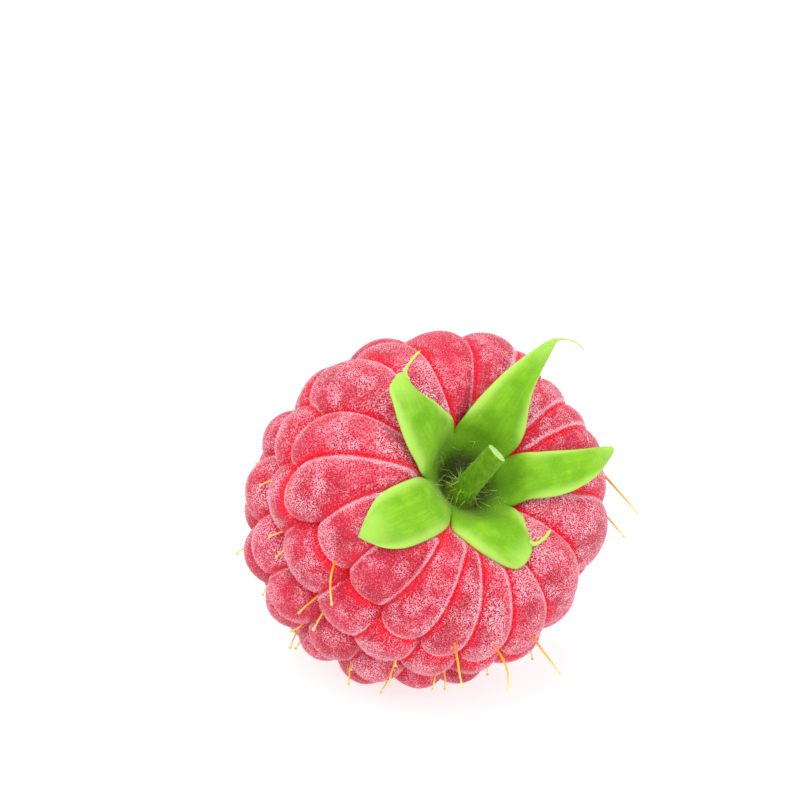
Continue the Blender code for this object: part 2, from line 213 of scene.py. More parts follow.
# The calyx: a cup, as radius and height of its middle layer in millimetres, and its sepals.
CUP_OUTLINE = ((0.0, 0.25), (1.2, 0.32), (1.9, 0.80), (2.45, 1.45), (3.0, 2.12))
CUP_THICKNESS = 0.70 * MM
SEPAL_THICKNESS = 0.90 * MM
# Share of its thickness that a sepal loses towards its tip, the share of the cup's radius that the thickness
# changes from, and the powers that round off the upper side of the edges.
SEPAL_THINNING = 0.45
SEPAL_THICK_FROM = 0.45
EDGE_POWERS = (2.4, 0.55)
# How fast the rim's outline dies away along a sepal, and its arch and its pale edges set in.
RIM_FADE = 4
ARCH_RATE = 1.1
EDGE_RATE = 4
UNDERSIDE_EDGE = 0.4
UNDERSIDE_HAIR = 0.5
# Each sepal, in millimetres and degrees: the notches on both sides of it, its length, half widths from rim to
# tip on the side of the next notch and on the other, how its edges arch down, its slope at both ends, and how
# it turns and sways. Then the thread at its tip: side, length, radius, turn, rise, curl and sag.
Sepal = namedtuple(
    "Sepal",
    "notch next_notch length left right arch lift droop turn sway "
    "thread_side thread thread_thin thread_turn thread_rise curl sag",
)
SEPALS = (
    Sepal(
        90.0, 169.0, 6.85, (2.2, 2.15, 2.1, 1.9, 1.6, 1.25, 0.95), (2.15, 1.85, 1.5, 1.15, 0.6, 0.22, 0.40),
        0.20, 62, 5, -10.9, 6, -0.9, 1.75, 0.08, -66, 20, -25, 0,
    ),
    Sepal(
        169.0, 221.6, 7.35, (1.75, 1.9, 1.9, 1.85, 1.65, 1.15, 0.16), (1.65, 1.75, 1.8, 1.8, 1.6, 0.95, 0.12),
        0.22, 47, -26, -8.2, 0, 0.0, 0.0, 0.1, 0, 0, 0, 0,
    ),
    Sepal(
        221.6, 309.0, 4.45, (2.15, 2.1, 2.1, 1.85, 1.6, 1.18, 0.80), (2.5, 2.25, 2.0, 1.75, 1.5, 1.2, 0.85),
        0.22, 48, -14, 42.9, 0, 0.9, 1.3, 0.10, 62, 30, 50, 0,
    ),
    Sepal(
        309.0, 372.4, 7.8, (1.6, 1.4, 1.2, 0.95, 0.7, 0.45, 0.12), (1.35, 1.5, 1.5, 1.3, 1.0, 0.5, 0.12),
        0.18, 62, -30, 36.1, 0, 0.0, 0.0, 0.1, 0, 0, 0, 0,
    ),
    Sepal(
        12.4, 90.0, 8.2, (1.85, 1.75, 1.55, 1.3, 0.95, 0.55, 0.15), (2.0, 1.75, 1.2, 0.75, 0.5, 0.3, 0.15),
        0.18, 64, 5, -16.9, 0, 0.0, 2.6, 0.045, -32, -8, -80, 0,
    ),
)
# Share of a sepal that its rounded tip takes. Then, for its thread, where on the sepal the corner is that it
# leaves, its radius at the root and how deep it starts, in millimetres.
TIP_ROUND = 0.04
THREAD_CORNER = 0.9
THREAD_ROOT = 0.20
THREAD_SUNK = 0.4
THREAD_STEPS = 22
THREAD_SIDES = 8
# Shares of a thread's length: where it has thinned, where it has turned, and where and over how much of it
# its end rounds off.
THREAD_THINNED = 0.45
THREAD_TURNED = 0.35
THREAD_END = 0.93
THREAD_ROUND = 0.072
# How far from the axis the cup is darkened with painted shade, and the shares of its radius between which it
# is bristly.
CUP_SHADE_REACH = 4.6 * MM
CUP_BRISTLES = (0.3, 0.9)
CALYX_VALUES = ("edge", "shade_depth", "along", "across", "hairy", "bristly")
SEPAL_COLUMNS = 28
SEPAL_STEPS = 44
CUP_STEPS = 16

# The stem: its axis and its radii at both ends, as in the solid model, and how much fuller and deeper it is.
STEM_SHIFT = Vector((-0.43, -0.62, 0.0)) * MM
STEM_RADII = (0.70 * MM, 0.60 * MM)
STEM_PLUMP = 0.04 * MM
STEM_SUNK = 0.25 * MM
STEM_BASE = 1.02 * MM
STEM_LENGTH = 5.23 * MM
STEM_LEAN = math.radians(9.8)
STEM_LEAN_HEADING = math.radians(74)
STEM_SIDES = 40
STEM_STEPS = 36
# Its flare at the foot, its ribs, each so many to a turn, how high painted shade darkens it, and how high it
# is bristly.
STEM_FLARE = 0.22 * MM
STEM_FLARE_REACH = 0.55 * MM
STEM_RIBS = (2, 3, 5, 7, 11)
STEM_RIB_SIZES = (0.008, 0.03)
STEM_FOOT_SHADE_REACH = 1.1 * MM
STEM_DOWN = 0.5
STEM_BRISTLES = 0.8
STEM_BRISTLE_HEIGHT = 1.5 * MM
# The cut slopes, and this slope dies away down the stem with a power of the height.
STEM_CUT_SLOPE = 0.90
STEM_CUT_POWER = 6
STEM_CUT_HEADING = math.radians(200)
# Rings of the cut end: share of the radius, rise in millimetres, and how pale it is.
STEM_CUT_RINGS = (
    (1.0, -0.03, 0.6), (0.95, 0.02, 0.9), (0.86, 0.03, 1.0), (0.70, -0.02, 1.0), (0.52, -0.05, 1.0),
    (0.3, -0.08, 1.0),
)
STEM_MIDDLE_DIP = 0.10 * MM
STEM_SEED = 9

# Where the view's middle lies from the middle of the crown, as shares of the field: right and up.
CROWN_IN_VIEW = (-0.0695, 0.1099)
FLOOR_SIZE = 3.0
# Light from all round, the point that the lamps look at, and each lamp: place, width and strength in watts.
SKY_STRENGTH = 0.80
LAMPS_AIM = Vector((0, 0, 10 * MM))
LAMPS = (
    ("overhead", (-0.05, -0.02, 0.40), 0.26, 0.60),
    ("key", (-0.10, -0.22, 0.25), 0.20, 0.38),
    ("fill", (0.22, -0.26, 0.15), 0.24, 0.36),
)

# What the settings of a colour or a length have in common.
COLOUR = {"subtype": "COLOR", "size": 3, "min": 0.0, "max": 1.0}
DISTANCE = {"unit": "LENGTH", "subtype": "DISTANCE"}

Drupelet = namedtuple("Drupelet", "place length width depth egg bend swirl row azimuth lobes tone")


# Settings


class RaspberryDrupelets(bpy.types.PropertyGroup):
    """Skin of the drupelets and how they press together"""

    skin: FloatVectorProperty(
        name="Skin",
        description="Colour of the drupelets' skin",
        **COLOUR,
        default=(0.56, 0.006, 0.042),
    )
    # Painted light: a brighter, purer red for the creases, standing in for light that comes through the
    # flesh.
    crease: FloatVectorProperty(
        name="Creases",
        description="Colour down between the drupelets, where light comes through the flesh",
        **COLOUR,
        default=(0.78, 0.006, 0.027),
    )
    # Pale flecks of the hairs, made denser on the rims as painted sheen.
    bloom_and_sheen: FloatVectorProperty(
        name="Bloom",
        description="Colour of the pale flecks on the skin",
        **COLOUR,
        default=(0.95, 0.58, 0.68),
    )
    # Painted glow: the creases give off red light, standing in for light that has passed through the flesh.
    glow: FloatProperty(
        name="Glow",
        description="How strongly light that has passed through the flesh shows in the creases",
        default=0.11,
        min=0.0,
    )
    shoulder: FloatProperty(
        name="Shoulder",
        description="How softly a drupelet's skin turns into a crease, as a share of its size",
        default=0.17,
        min=0.01,
        max=0.5,
    )
    lap: FloatProperty(
        name="Lap",
        description="How far drupelets lap over their neighbours, as a share of their size",
        default=0.05,
        min=0.0,
        max=0.3,
    )
    gap: FloatProperty(
        name="Gap",
        description="Clearance between drupelets pressed together",
        **DISTANCE,
        default=0.006 * MM,
        min=0.0,
        max=0.2 * MM,
    )


class RaspberryHairs(bpy.types.PropertyGroup):
    """Fine hairs on the drupelets"""

    length: FloatProperty(
        name="Length",
        description="Length of the hairs on the drupelets",
        **DISTANCE,
        default=0.085 * MM,
        min=0.02 * MM,
        max=1.0 * MM,
    )
    radius: FloatProperty(
        name="Radius",
        description="Radius of a hair at its root",
        **DISTANCE,
        default=0.010 * MM,
        min=0.002 * MM,
        max=0.1 * MM,
    )
    per_mm2: FloatProperty(
        name="Hairs per mm2",
        description="How densely the hairs stand on the drupelets",
        default=36.0,
        min=0.0,
        max=80.0,
    )
    colour: FloatVectorProperty(
        name="Colour",
        description="Colour of the hairs",
        **COLOUR,
        default=(0.95, 0.68, 0.76),
    )


class RaspberryStyles(bpy.types.PropertyGroup):
    """Dried styles between the drupelets"""

    radius: FloatProperty(
        name="Radius",
        description="Radius of a dried style",
        **DISTANCE,
        default=0.065 * MM,
        min=0.02 * MM,
        max=0.3 * MM,
    )
    knob: FloatProperty(
        name="Knob",
        description="Radius of the stigma at a style's tip",
        **DISTANCE,
        default=0.095 * MM,
        min=0.02 * MM,
        max=0.4 * MM,
    )
    root: FloatVectorProperty(
        name="Root",
        description="Colour of the styles where they leave the fruit",
        **COLOUR,
        default=(0.86, 0.24, 0.007),
    )
    shaft: FloatVectorProperty(
        name="Shaft",
        description="Colour of the styles' shafts",
        **COLOUR,
        default=(0.88, 0.43, 0.008),
    )
    tip: FloatVectorProperty(
        name="Tip",
        description="Colour of the styles' tips",
        **COLOUR,
        default=(0.88, 0.72, 0.20),
    )


class RaspberryCalyx(bpy.types.PropertyGroup):
    """Colours of the calyx"""

    leaf: FloatVectorProperty(
        name="Leaf",
        description="Colour of the sepals",
        **COLOUR,
        default=(0.175, 0.43, 0.004),
    )
    margin: FloatVectorProperty(
        name="Margin",
        description="Colour of the sepals' edges and tips",
        **COLOUR,
        default=(0.44, 0.70, 0.12),
    )
    # Painted shade: the dark colour down in the cup.
    recess_shade: FloatVectorProperty(
        name="Recess",
        description="Colour down in the cup",
        **COLOUR,
        default=(0.030, 0.042, 0.001),
    )
    hair: FloatVectorProperty(
        name="Hair",
        description="Colour of the calyx's hairs",
        **COLOUR,
        default=(0.36, 0.55, 0.05),
    )


class RaspberryStem(bpy.types.PropertyGroup):
    """Colours of the stem"""

    bark: FloatVectorProperty(
        name="Bark",
        description="Colour of the stem's side",
        **COLOUR,
        default=(0.092, 0.235, 0.001),
    )
    cut: FloatVectorProperty(
        name="Cut",
        description="Colour of the cut end",
        **COLOUR,
        default=(0.32, 0.58, 0.11),
    )


class RaspberryStage(bpy.types.PropertyGroup):
    """Floor, light and camera"""

    elevation: FloatProperty(
        name="Elevation",
        description="How far the camera looks down",
        unit="ROTATION",
        subtype="ANGLE",
        default=math.radians(22),
        min=0.0,
        max=math.radians(89),
    )
    lens: FloatProperty(
        name="Lens",
        description="Focal length of the camera in millimetres",
        default=110.0,
        min=20.0,
        max=300.0,
    )
    field: FloatProperty(
        name="Field",
        description="Width that the camera takes in at the fruit",
        **DISTANCE,
        default=48.5 * MM,
        min=10 * MM,
        max=500 * MM,
    )
    floor: FloatVectorProperty(
        name="Floor",
        description="Colour of the floor",
        **COLOUR,
        default=(0.31, 0.36, 0.36),
    )
    glow: FloatProperty(
        name="Glow",
        description="How much light the floor gives of itself, as from a light table",
        default=0.76,
        min=0.0,
    )
    light: FloatProperty(
        name="Light",
        description="Strength of the lamps",
        default=1.0,
        min=0.0,
        max=10.0,
    )


# Where things are


def lying():
    """Matrix that lays the upright fruit on the table, where the solid model has it."""
    turn = Matrix.Rotation(FRUIT_HEADING, 4, "Z")
    tip_over = Matrix.Rotation(math.pi / 2 - FRUIT_ELEVATION, 4, "X")
    lay = Matrix.Translation((0, 0, FRUIT_HEIGHT)) @ turn @ tip_over
    low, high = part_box("stem")
    base, way = stem_axis()
    ends = [lay @ base, lay @ (base + way * STEM_LENGTH)]
    heading = (lay.to_3x3() @ way).normalized()
    shift = Vector((0, 0, 0))
    for i in (0, 1):
        spread = math.sqrt(1 - heading[i] ** 2)
        least = min(ends[0][i] - STEM_RADII[0] * spread, ends[1][i] - STEM_RADII[1] * spread)
        most = max(ends[0][i] + STEM_RADII[0] * spread, ends[1][i] + STEM_RADII[1] * spread)
        shift[i] = (low[i] + high[i]) / 2 - (least + most) / 2
    return Matrix.Translation(shift) @ lay


def stem_axis():
    """Lower end of the stem's axis and its direction, on the upright fruit."""
    way = Vector(
        (
            math.sin(STEM_LEAN) * math.cos(STEM_LEAN_HEADING),
            math.sin(STEM_LEAN) * math.sin(STEM_LEAN_HEADING),
            math.cos(STEM_LEAN),
        )
    )
    return STEM_SHIFT + Vector((0, 0, STEM_BASE)), way


def swung(turn, swing):
    """Azimuth of an evenly spaced turn after the swings, and how wide its share of the row has become."""
    azimuth = turn
    share = 1.0
    for times, degrees, start in SWINGS:
        reach = swing * math.radians(degrees)
        azimuth += reach * math.sin(times * turn + math.radians(start))
        share += times * reach * math.cos(times * turn + math.radians(start))
    return azimuth % (2 * math.pi), share


def crown_turn(i):
    """Azimuth of a drupelet of the crown row, and how wide its share of the row is."""
    count = len(CROWN_TURNS)
    before = CROWN_TURNS[i - 1] - (360 if i == 0 else 0)
    after = CROWN_TURNS[(i + 1) % count] + (360 if i == count - 1 else 0)
    return math.radians(CROWN_TURNS[i]), (after - before) / 2 * count / 360


def swirled(azimuth, lap):
    """How far the ends of a crown drupelet curl towards the lead, less and less away from it."""
    apart = (abs(azimuth - LEAD) - SWIRL_FROM) / (SWIRL_TO - SWIRL_FROM)
    return SWIRL * lap * (1 - (1 - SWIRL_LEFT) * min(1.0, max(0.0, apart)))


def drupelet_frame(azimuth, radius, height, pitch, roll):
    """Frame on the fruit: x across the meridian, y along it towards the tip, z outwards."""
    along = Vector((math.cos(pitch), 0, -math.sin(pitch)))
    outwards = Vector((math.sin(pitch), 0, math.cos(pitch)))
    turned = Matrix((along.cross(outwards), along, outwards)).transposed().to_4x4()
    turn = Matrix.Rotation(azimuth, 4, "Z") @ Matrix.Translation((radius, 0, height))
    return turn @ turned @ Matrix.Rotation(roll, 4, "Y")


def drupelets():
    """Every drupelet: its frame, its half sizes along that frame, and how its skin is lobed."""
    rng = random.Random(LAYOUT_SEED)
    lobe_rng = random.Random(LOBE_SEED)
    tone_rng = random.Random(TONE_SEED)
    found = []
    for number, row in enumerate(ROWS):
        drift = Matrix.Rotation(DRIFT_HEADING, 4, "Z") @ Vector((row.drift * MM, 0, 0))
        for i in range(row.count):
            turn = math.radians(row.first) + 2 * math.pi * (i + rng.uniform(-1, 1) * TURN_SPREAD) / row.count
            azimuth, share = crown_turn(i) if number == 0 else swung(turn, row.swing)
            size = 1 + rng.uniform(-1, 1) * SIZE_SPREAD
            slide = rng.uniform(-1, 1) * SLIDE_SPREAD
            roll = rng.uniform(-1, 1) * ROLL_SPREAD
            rise = lead = swirl = 0.0
            if number == 0:
                lap = math.tanh((azimuth - LEAD) / LAP_REACH)
                roll += LAP_ROLL * lap
                lead = 1 - lap * lap
                swirl = swirled(azimuth, lap)
                rise = LEAD_RISE * lead
                slide -= LEAD_DRAW * lead
            place = drupelet_frame(azimuth, row.radius * MM, row.height * MM, math.radians(row.pitch), roll)
            place = Matrix.Translation(drift) @ place @ Matrix.Translation((0, slide, rise))
            width = row.width * MM * size * (WIDTH_KEPT + (1 - WIDTH_KEPT) * share)
            length = row.length * MM * size * (1 - LEAD_SHORT * lead)
            depth = row.depth * MM * size
            lobes = [lobe_rng.uniform(-1, 1) * LOBE_SPREAD for _ in range(4)]
            tone = tone_rng.uniform(-1, 1)
            bend = row.bend * MM
            found.append(
                Drupelet(place, length, width, depth, row.egg, bend, swirl, number, azimuth, lobes, tone)
            )
    return found


# Mesh helpers


def linked(name, data):
    """New object in the scene."""
    obj = bpy.data.objects.new(name, data)
    bpy.context.scene.collection.objects.link(obj)
    return obj


def new_mesh_object(name, points, faces):
    """Smooth object from points in the part's frame."""
    mesh = bpy.data.meshes.new(name)
    mesh.from_pydata([tuple(point) for point in points], [], faces)
    mesh.validate()
    mesh.shade_smooth()
    return linked(name, mesh)


def object_from(shape, name):
    """Smooth object from a shape, which is freed."""
    mesh = bpy.data.meshes.new(name)
    shape.to_mesh(mesh)
    shape.free()
    mesh.shade_smooth()
    return linked(name, mesh)


def add_values(obj, name, values):
    """Number for each vertex, read by the piece's material or its hairs."""
    attribute = obj.data.attributes.new(name, "FLOAT", "POINT")
    attribute.data.foreach_set("value", np.asarray(values, dtype=np.float32))


def ball_grid(cuts):
    """Directions and faces of a ball made from a cube, closer together on its +Z side."""
    shape = bmesh.new()
    bmesh.ops.create_cube(shape, size=2)
    bmesh.ops.subdivide_edges(shape, edges=shape.edges, cuts=cuts - 1, use_grid_fill=True)
    bmesh.ops.recalc_face_normals(shape, faces=shape.faces)
    shape.verts.index_update()
    ways = np.array([vert.co for vert in shape.verts])
    faces = [[vert.index for vert in face.verts] for face in shape.faces]
    shape.free()
    ways = np.tan(ways * (math.pi / 4))
    ways /= np.linalg.norm(ways, axis=1, keepdims=True)
    polar = np.arccos(np.clip(ways[:, 2], -1, 1))
    level = np.hypot(ways[:, 0], ways[:, 1])
    polar *= OUTER_CROWDING + (1 - OUTER_CROWDING) * polar / math.pi
    spread = np.where(level > 1e-9, np.sin(polar) / np.maximum(level, 1e-9), 0.0)
    ways = np.stack((ways[:, 0] * spread, ways[:, 1] * spread, np.cos(polar)), axis=1)
    return ways, faces


def smoothstep(low, high, values):
    """Soft step from 0 at low to 1 at high."""
    t = np.clip((values - low) / (high - low), 0, 1)
    return t * t * (3 - 2 * t)


# Drupelets


class Shell:
    """One drupelet as numbers: where it is and how far its skin reaches each way."""

    def __init__(self, drupelet):
        self.centre = np.array(drupelet.place.translation)
        self.axes = np.array(drupelet.place.to_3x3())
        self.sizes = (drupelet.width, drupelet.length, drupelet.depth)
        self.egg = drupelet.egg
        self.bend = drupelet.bend
        self.swirl = drupelet.swirl
        self.lobes = drupelet.lobes
        self.row = drupelet.row
        self.tone = drupelet.tone
        self.from_lead = abs(drupelet.azimuth - LEAD)
        self.outer = max(self.sizes)

    def bulge(self, ways):
        """How far the skin stands out each way from the plain egg."""
        x, y, z = ways[..., 0], ways[..., 1], ways[..., 2]
        a, b, c, d = self.lobes
        return 1 + a * (x * x - y * y) + b * 2 * x * y + c * 2 * y * z + d * 2 * x * z

    def points(self, ways, shares):
        """Points a share of the way out to the skin."""
        width, length, depth = self.sizes
        q = ways * (shares * self.bulge(ways))[..., None]
        x = q[..., 0] * width * (1 + self.egg * q[..., 1]) + self.swirl * (q[..., 1] ** 2 - SWIRL_MIDDLE)
        y = q[..., 1] * length
        z = q[..., 2] * depth - self.bend * q[..., 1] ** 2
        return self.centre + np.stack((x, y, z), axis=-1) @ self.axes.T

    def reach(self, points):
        """How far out points lie: 0 in the middle and 1 on the skin."""
        width, length, depth = self.sizes
        local = (points - self.centre) @ self.axes
        v = np.clip(local[..., 1] / length, -2.5, 2.5)
        u = (local[..., 0] - self.swirl * (v * v - SWIRL_MIDDLE)) / (width * (1 + self.egg * v))
        w = (local[..., 2] + self.bend * v * v) / depth
        q = np.stack((u, v, w), axis=-1)
        out = np.maximum(np.linalg.norm(q, axis=-1), 1e-6)
        return out / self.bulge(q / out[..., None])


class Cover:
    """Underside of the calyx over the upright fruit, as heights on a square grid."""

    def __init__(self):
        shape = make_calyx_mesh(Matrix.Identity(4))
        tree = BVHTree.FromBMesh(shape)
        shape.free()
        side = np.linspace(-COVER_REACH, COVER_REACH, COVER_CELLS)
        self.step = side[1] - side[0]
        heights = np.full((COVER_CELLS, COVER_CELLS), 1.0)
        for i, x in enumerate(side):
            for j, y in enumerate(side):
                place = tree.ray_cast(Vector((x, y, COVER_FROM)), Vector((0, 0, 1)))[0]
                if place:
                    heights[i, j] = place.z
        rise = self.step * COVER_SLOPE
        for _ in range(COVER_SPREAD):
            heights[1:] = np.minimum(heights[1:], heights[:-1] + rise)
            heights[:-1] = np.minimum(heights[:-1], heights[1:] + rise)
            heights[:, 1:] = np.minimum(heights[:, 1:], heights[:, :-1] + rise)
            heights[:, :-1] = np.minimum(heights[:, :-1], heights[:, 1:] + rise)
        self.heights = heights - COVER_GAP

    def clearance(self, points):
        """Distance upwards from points to the calyx."""
        x = np.clip((points[..., 0] + COVER_REACH) / self.step, 0, COVER_CELLS - 1.001)
        y = np.clip((points[..., 1] + COVER_REACH) / self.step, 0, COVER_CELLS - 1.001)
        i, j = x.astype(int), y.astype(int)
        u, v = x - i, y - j
        low = self.heights[i, j] * (1 - u) + self.heights[i + 1, j] * u
        high = self.heights[i, j + 1] * (1 - u) + self.heights[i + 1, j + 1] * u
        return low * (1 - v) + high * v - points[..., 2]


def laps_over(shell, other):
    """Whether a drupelet lies over its neighbour: rows lap towards the tip, and away from the lead."""
    if shell.row != other.row:
        return shell.row < other.row
    return shell.from_lead < other.from_lead


def pressed(shell, neighbours, ways, lay, lap, cover):
    """How far out each way the flesh goes before it meets what is listed, or the calyx or the table."""
    rotation = np.array(lay.to_3x3())
    height = np.array(lay.translation)[2]

    def room(share):
        points = shell.points(ways, np.full(len(ways), share))
        free = (points @ rotation[2] + height) / shell.outer
        if shell.row == 0:
            free = np.minimum(free, cover.clearance(points) / shell.outer)
        for other in neighbours:
            free = np.minimum(free, other.reach(points) + lap - share)
        return free

    steps = np.linspace(SCAN_FROM, SCAN_TO, SCAN_STEPS)
    stop = np.full(len(ways), SCAN_TO)
    before = room(steps[0])
    found = before <= 0
    stop[found] = steps[0]
    for last, step in zip(steps, steps[1:]):
        here = room(step)
        crossed = (here <= 0) & ~found
        share = before / np.maximum(before - here, 1e-9)
        stop[crossed] = (last + share * (step - last))[crossed]
        found |= crossed
        before = here
    return stop


def nearness(points, others):
    """How far points are from the nearest of some drupelets: 1 on its skin and more outside it."""
    least = np.full(len(points), 3.0)
    for other in others:
        least = np.minimum(least, other.reach(points))
    return least


def soft_least(values, limit, blend):
    """The lesser of values and a limit, rounded where they meet."""
    near = np.maximum(blend - np.abs(values - limit), 0) / blend
    return np.minimum(values, limit) - near * near * blend / 4


def make_drupelet_piece(name, shells, first, last, cuts, lay, cover, settings):
    """Some rows of drupelets as closed shells pressed together, with the numbers that their skin reads."""
    ways, quads = ball_grid(cuts)
    world = np.array(lay)
    all_points, all_faces, domes, sheen_rims, tones = [], [], [], [], []
    for shell in shells:
        if not first <= shell.row <= last:
            continue
        near = [
            other
            for other in shells
            if other is not shell
            and np.linalg.norm(other.centre - shell.centre) < (shell.outer + other.outer) * TOUCH_REACH
        ]
        below = [other for other in near if laps_over(shell, other)]
        above = [other for other in near if not laps_over(shell, other)]
        over = pressed(shell, below, ways, lay, settings.lap, cover)
        under = pressed(shell, above, ways, lay, -settings.lap, cover)
        shares = np.minimum(
            soft_least(over, 1.0, settings.shoulder),
            soft_least(under, 1.0, settings.shoulder * UNDER_SHOULDER),
        )
        shares -= settings.gap / shell.outer
        points = shell.points(ways, shares)
        start = len(all_points) * len(ways)
        all_points.append(points @ world[:3, :3].T + world[:3, 3])
        all_faces.extend([[index + start for index in quad] for quad in quads])
        to_below = nearness(points, below)
        to_above = nearness(points, above)
        # The dome is 0 in the creases, where light through the flesh is painted in, and 1 on the open skin.
        domes.append(np.interp(to_below, DOME_OVER, (0, 1)) * np.interp(to_above, DOME_UNDER, (0, 1)))
        # Painted sheen: the pale rim along the edge that laps over a neighbour.
        rim = smoothstep(*SHEEN_RIM_INNER, to_below) * (1 - smoothstep(*SHEEN_RIM_OUTER, to_below))
        sheen_rims.append(rim * smoothstep(*SHEEN_RIM_UNDER, to_above))
        tones.append(np.full(len(points), shell.tone))
    obj = new_mesh_object(name, np.concatenate(all_points), all_faces)
    dome = np.concatenate(domes)
    add_values(obj, "dome", dome)
    add_values(obj, "rim", np.concatenate(sheen_rims))
    clear = smoothstep(0.0, BARE_HEIGHT, np.concatenate(all_points)[:, 2])
    add_values(obj, "hairy", (CREASE_HAIR + (1 - CREASE_HAIR) * dome) * clear)
    add_values(obj, "tone", np.concatenate(tones))
    return obj


def add_receptacle(obj, lay):
    """The body that the drupelets grow from, joined into their mesh."""
    shape = bmesh.new()
    points = [shape.verts.new((radius * MM, 0, height * MM)) for radius, height in RECEPTACLE_OUTLINE]
    edges = [shape.edges.new(pair) for pair in zip(points, points[1:])]
    bmesh.ops.spin(
        shape,
        geom=points + edges,
        axis=(0, 0, 1),
        cent=(0, 0, 0),
        angle=2 * math.pi,
        steps=RECEPTACLE_SIDES,
        use_merge=True,
    )
    bmesh.ops.remove_doubles(shape, verts=shape.verts, dist=0.0001 * MM)
    bmesh.ops.recalc_face_normals(shape, faces=shape.faces)
    shape.transform(lay)
    shape.from_mesh(obj.data)
    for face in shape.faces:
        face.smooth = True
    shape.to_mesh(obj.data)
    shape.free()


# Calyx


def evened(values, rounds):
    """Rows of points smoothed along the rows, with both ends kept."""
    values = np.array(values, dtype=float)
    for _ in range(rounds):
        values[1:-1] = (values[:-2] + 2 * values[1:-1] + values[2:]) / 4
    return values


def cup_profile():
    """Radius and height of the cup's middle layer from its centre to its rim."""
    given = np.array(CUP_OUTLINE) * MM
    steps = np.linspace(0, len(given) - 1, CUP_STEPS + 1)
    radius = np.interp(steps, range(len(given)), given[:, 0])
    height = np.interp(steps, range(len(given)), given[:, 1])
    return evened(np.stack((radius, height), axis=1), 6)


def rim_point(azimuth):
    """Point of the cup's rim."""
    radius, height = CUP_OUTLINE[-1]
    return Vector((radius * math.cos(azimuth), radius * math.sin(azimuth), height)) * MM


def sepal_midline(sepal):
    """Stations from the rim to the tip: position, direction and sideways direction."""
    notch = math.radians(sepal.notch)
    next_notch = math.radians(sepal.next_notch)
    position = (rim_point(notch) + rim_point(next_notch)) / 2
    stations = []
    for i in range(SEPAL_STEPS + 1):
        share = (i + 0.5) / SEPAL_STEPS
        heading = (notch + next_notch) / 2 + math.radians(sepal.turn) * share
        heading += math.radians(sepal.sway) * math.cos(math.pi * share)
        slope = math.radians(sepal.lift + (sepal.droop - sepal.lift) * share)
        level = math.cos(slope)
        direction = Vector((math.cos(heading) * level, math.sin(heading) * level, math.sin(slope)))
        sideways = Vector((-math.sin(heading), math.cos(heading), 0))
        stations.append((position.copy(), direction, sideways))
        position += direction * sepal.length * MM / SEPAL_STEPS
    return stations


def through(values, share):
    """Smooth curve through evenly spaced values, at a share of its length."""
    place = min(share, 0.999999) * (len(values) - 1)
    i = int(place)
    t = place - i
    before, here, after, beyond = (values[max(0, min(len(values) - 1, i + k))] for k in (-1, 0, 1, 2))
    bend = 2 * before - 5 * here + 4 * after - beyond + t * (3 * (here - after) + beyond - before)
    return here + 0.5 * t * (after - before + t * bend)


def half_width(sepal, share, side):
    """Distance from a sepal's midline to one edge, from the rim (0) to its rounded tip (1)."""
    rim = (rim_point(math.radians(sepal.notch)) - rim_point(math.radians(sepal.next_notch))).length / 2
    given = sepal.left if side > 0 else sepal.right
    width = through((rim / MM, *given), share) * MM
    close = max(0.0, share - (1 - TIP_ROUND)) / TIP_ROUND
    return width * math.sqrt(max(0.0, 1 - close * close))


def sepal_middle(sepal):
    """Middle layer of one fifth of the calyx, as rows of points from the cup's centre to the tip."""
    profile = cup_profile()
    stations = sepal_midline(sepal)
    across = np.sin(np.linspace(-math.pi / 2, math.pi / 2, SEPAL_COLUMNS + 1))
    azimuths = np.radians(sepal.notch + (sepal.next_notch - sepal.notch) * (across + 1) / 2)
    rows = []
    for radius, height in profile[:-1]:
        ring = (radius * np.cos(azimuths), radius * np.sin(azimuths), np.full_like(azimuths, height))
        rows.append(np.stack(ring).T)
    rim = np.array([rim_point(azimuth) for azimuth in azimuths])
    start = np.array(stations[0][0])
    first_side = np.array(stations[0][2])
    rim_offset = rim - start - np.outer(across * half_width(sepal, 0, 1), first_side)
    for step, (position, direction, sideways) in enumerate(stations):
        share = step / SEPAL_STEPS
        up = np.array(direction.cross(sideways))
        reach = across * np.where(across > 0, half_width(sepal, share, 1), half_width(sepal, share, -1))
        row = np.array(position) + np.outer(reach, np.array(sideways))
        row += rim_offset * (1 - share) ** RIM_FADE
        arch = sepal.arch * math.sin(math.pi * min(1.0, share * ARCH_RATE) / 2)
        row -= np.outer(arch * np.abs(reach * across), up)
        rows.append(row)
    return evened(rows, 3), across


def sheet_normals(rows):
    """Directions square to a sheet of points, smoothed."""
    along = np.gradient(rows, axis=0)
    across = np.gradient(rows, axis=1)
    normals = np.cross(along, across)
    normals[0] = (0, 0, 1)
    length = np.linalg.norm(normals, axis=-1, keepdims=True)
    normals = normals / np.maximum(length, 1e-12)
    return evened(normals, 2)


def sepal_thickness(rows, across):
    """Half thickness of the calyx's flesh over one fifth of it, above and below the middle layer."""
    above = np.zeros((rows, len(across)))
    below = np.zeros((rows, len(across)))
    for i in range(rows):
        share = max(0.0, (i - CUP_STEPS) / SEPAL_STEPS)
        hold = smoothstep(SEPAL_THICK_FROM, 1.0, i / CUP_STEPS)
        body = CUP_THICKNESS + (SEPAL_THICKNESS * (1 - SEPAL_THINNING * share) - CUP_THICKNESS) * hold
        close = max(0.0, share - (1 - TIP_ROUND)) / TIP_ROUND
        body *= math.sqrt(max(0.0, 1 - close * close))
        edge = np.abs(across) * hold
        above[i] = body / 2 * np.maximum(1 - edge ** EDGE_POWERS[0], 0) ** EDGE_POWERS[1]
        below[i] = body / 2 * np.sqrt(np.maximum(1 - edge**2, 0))
    return above, below


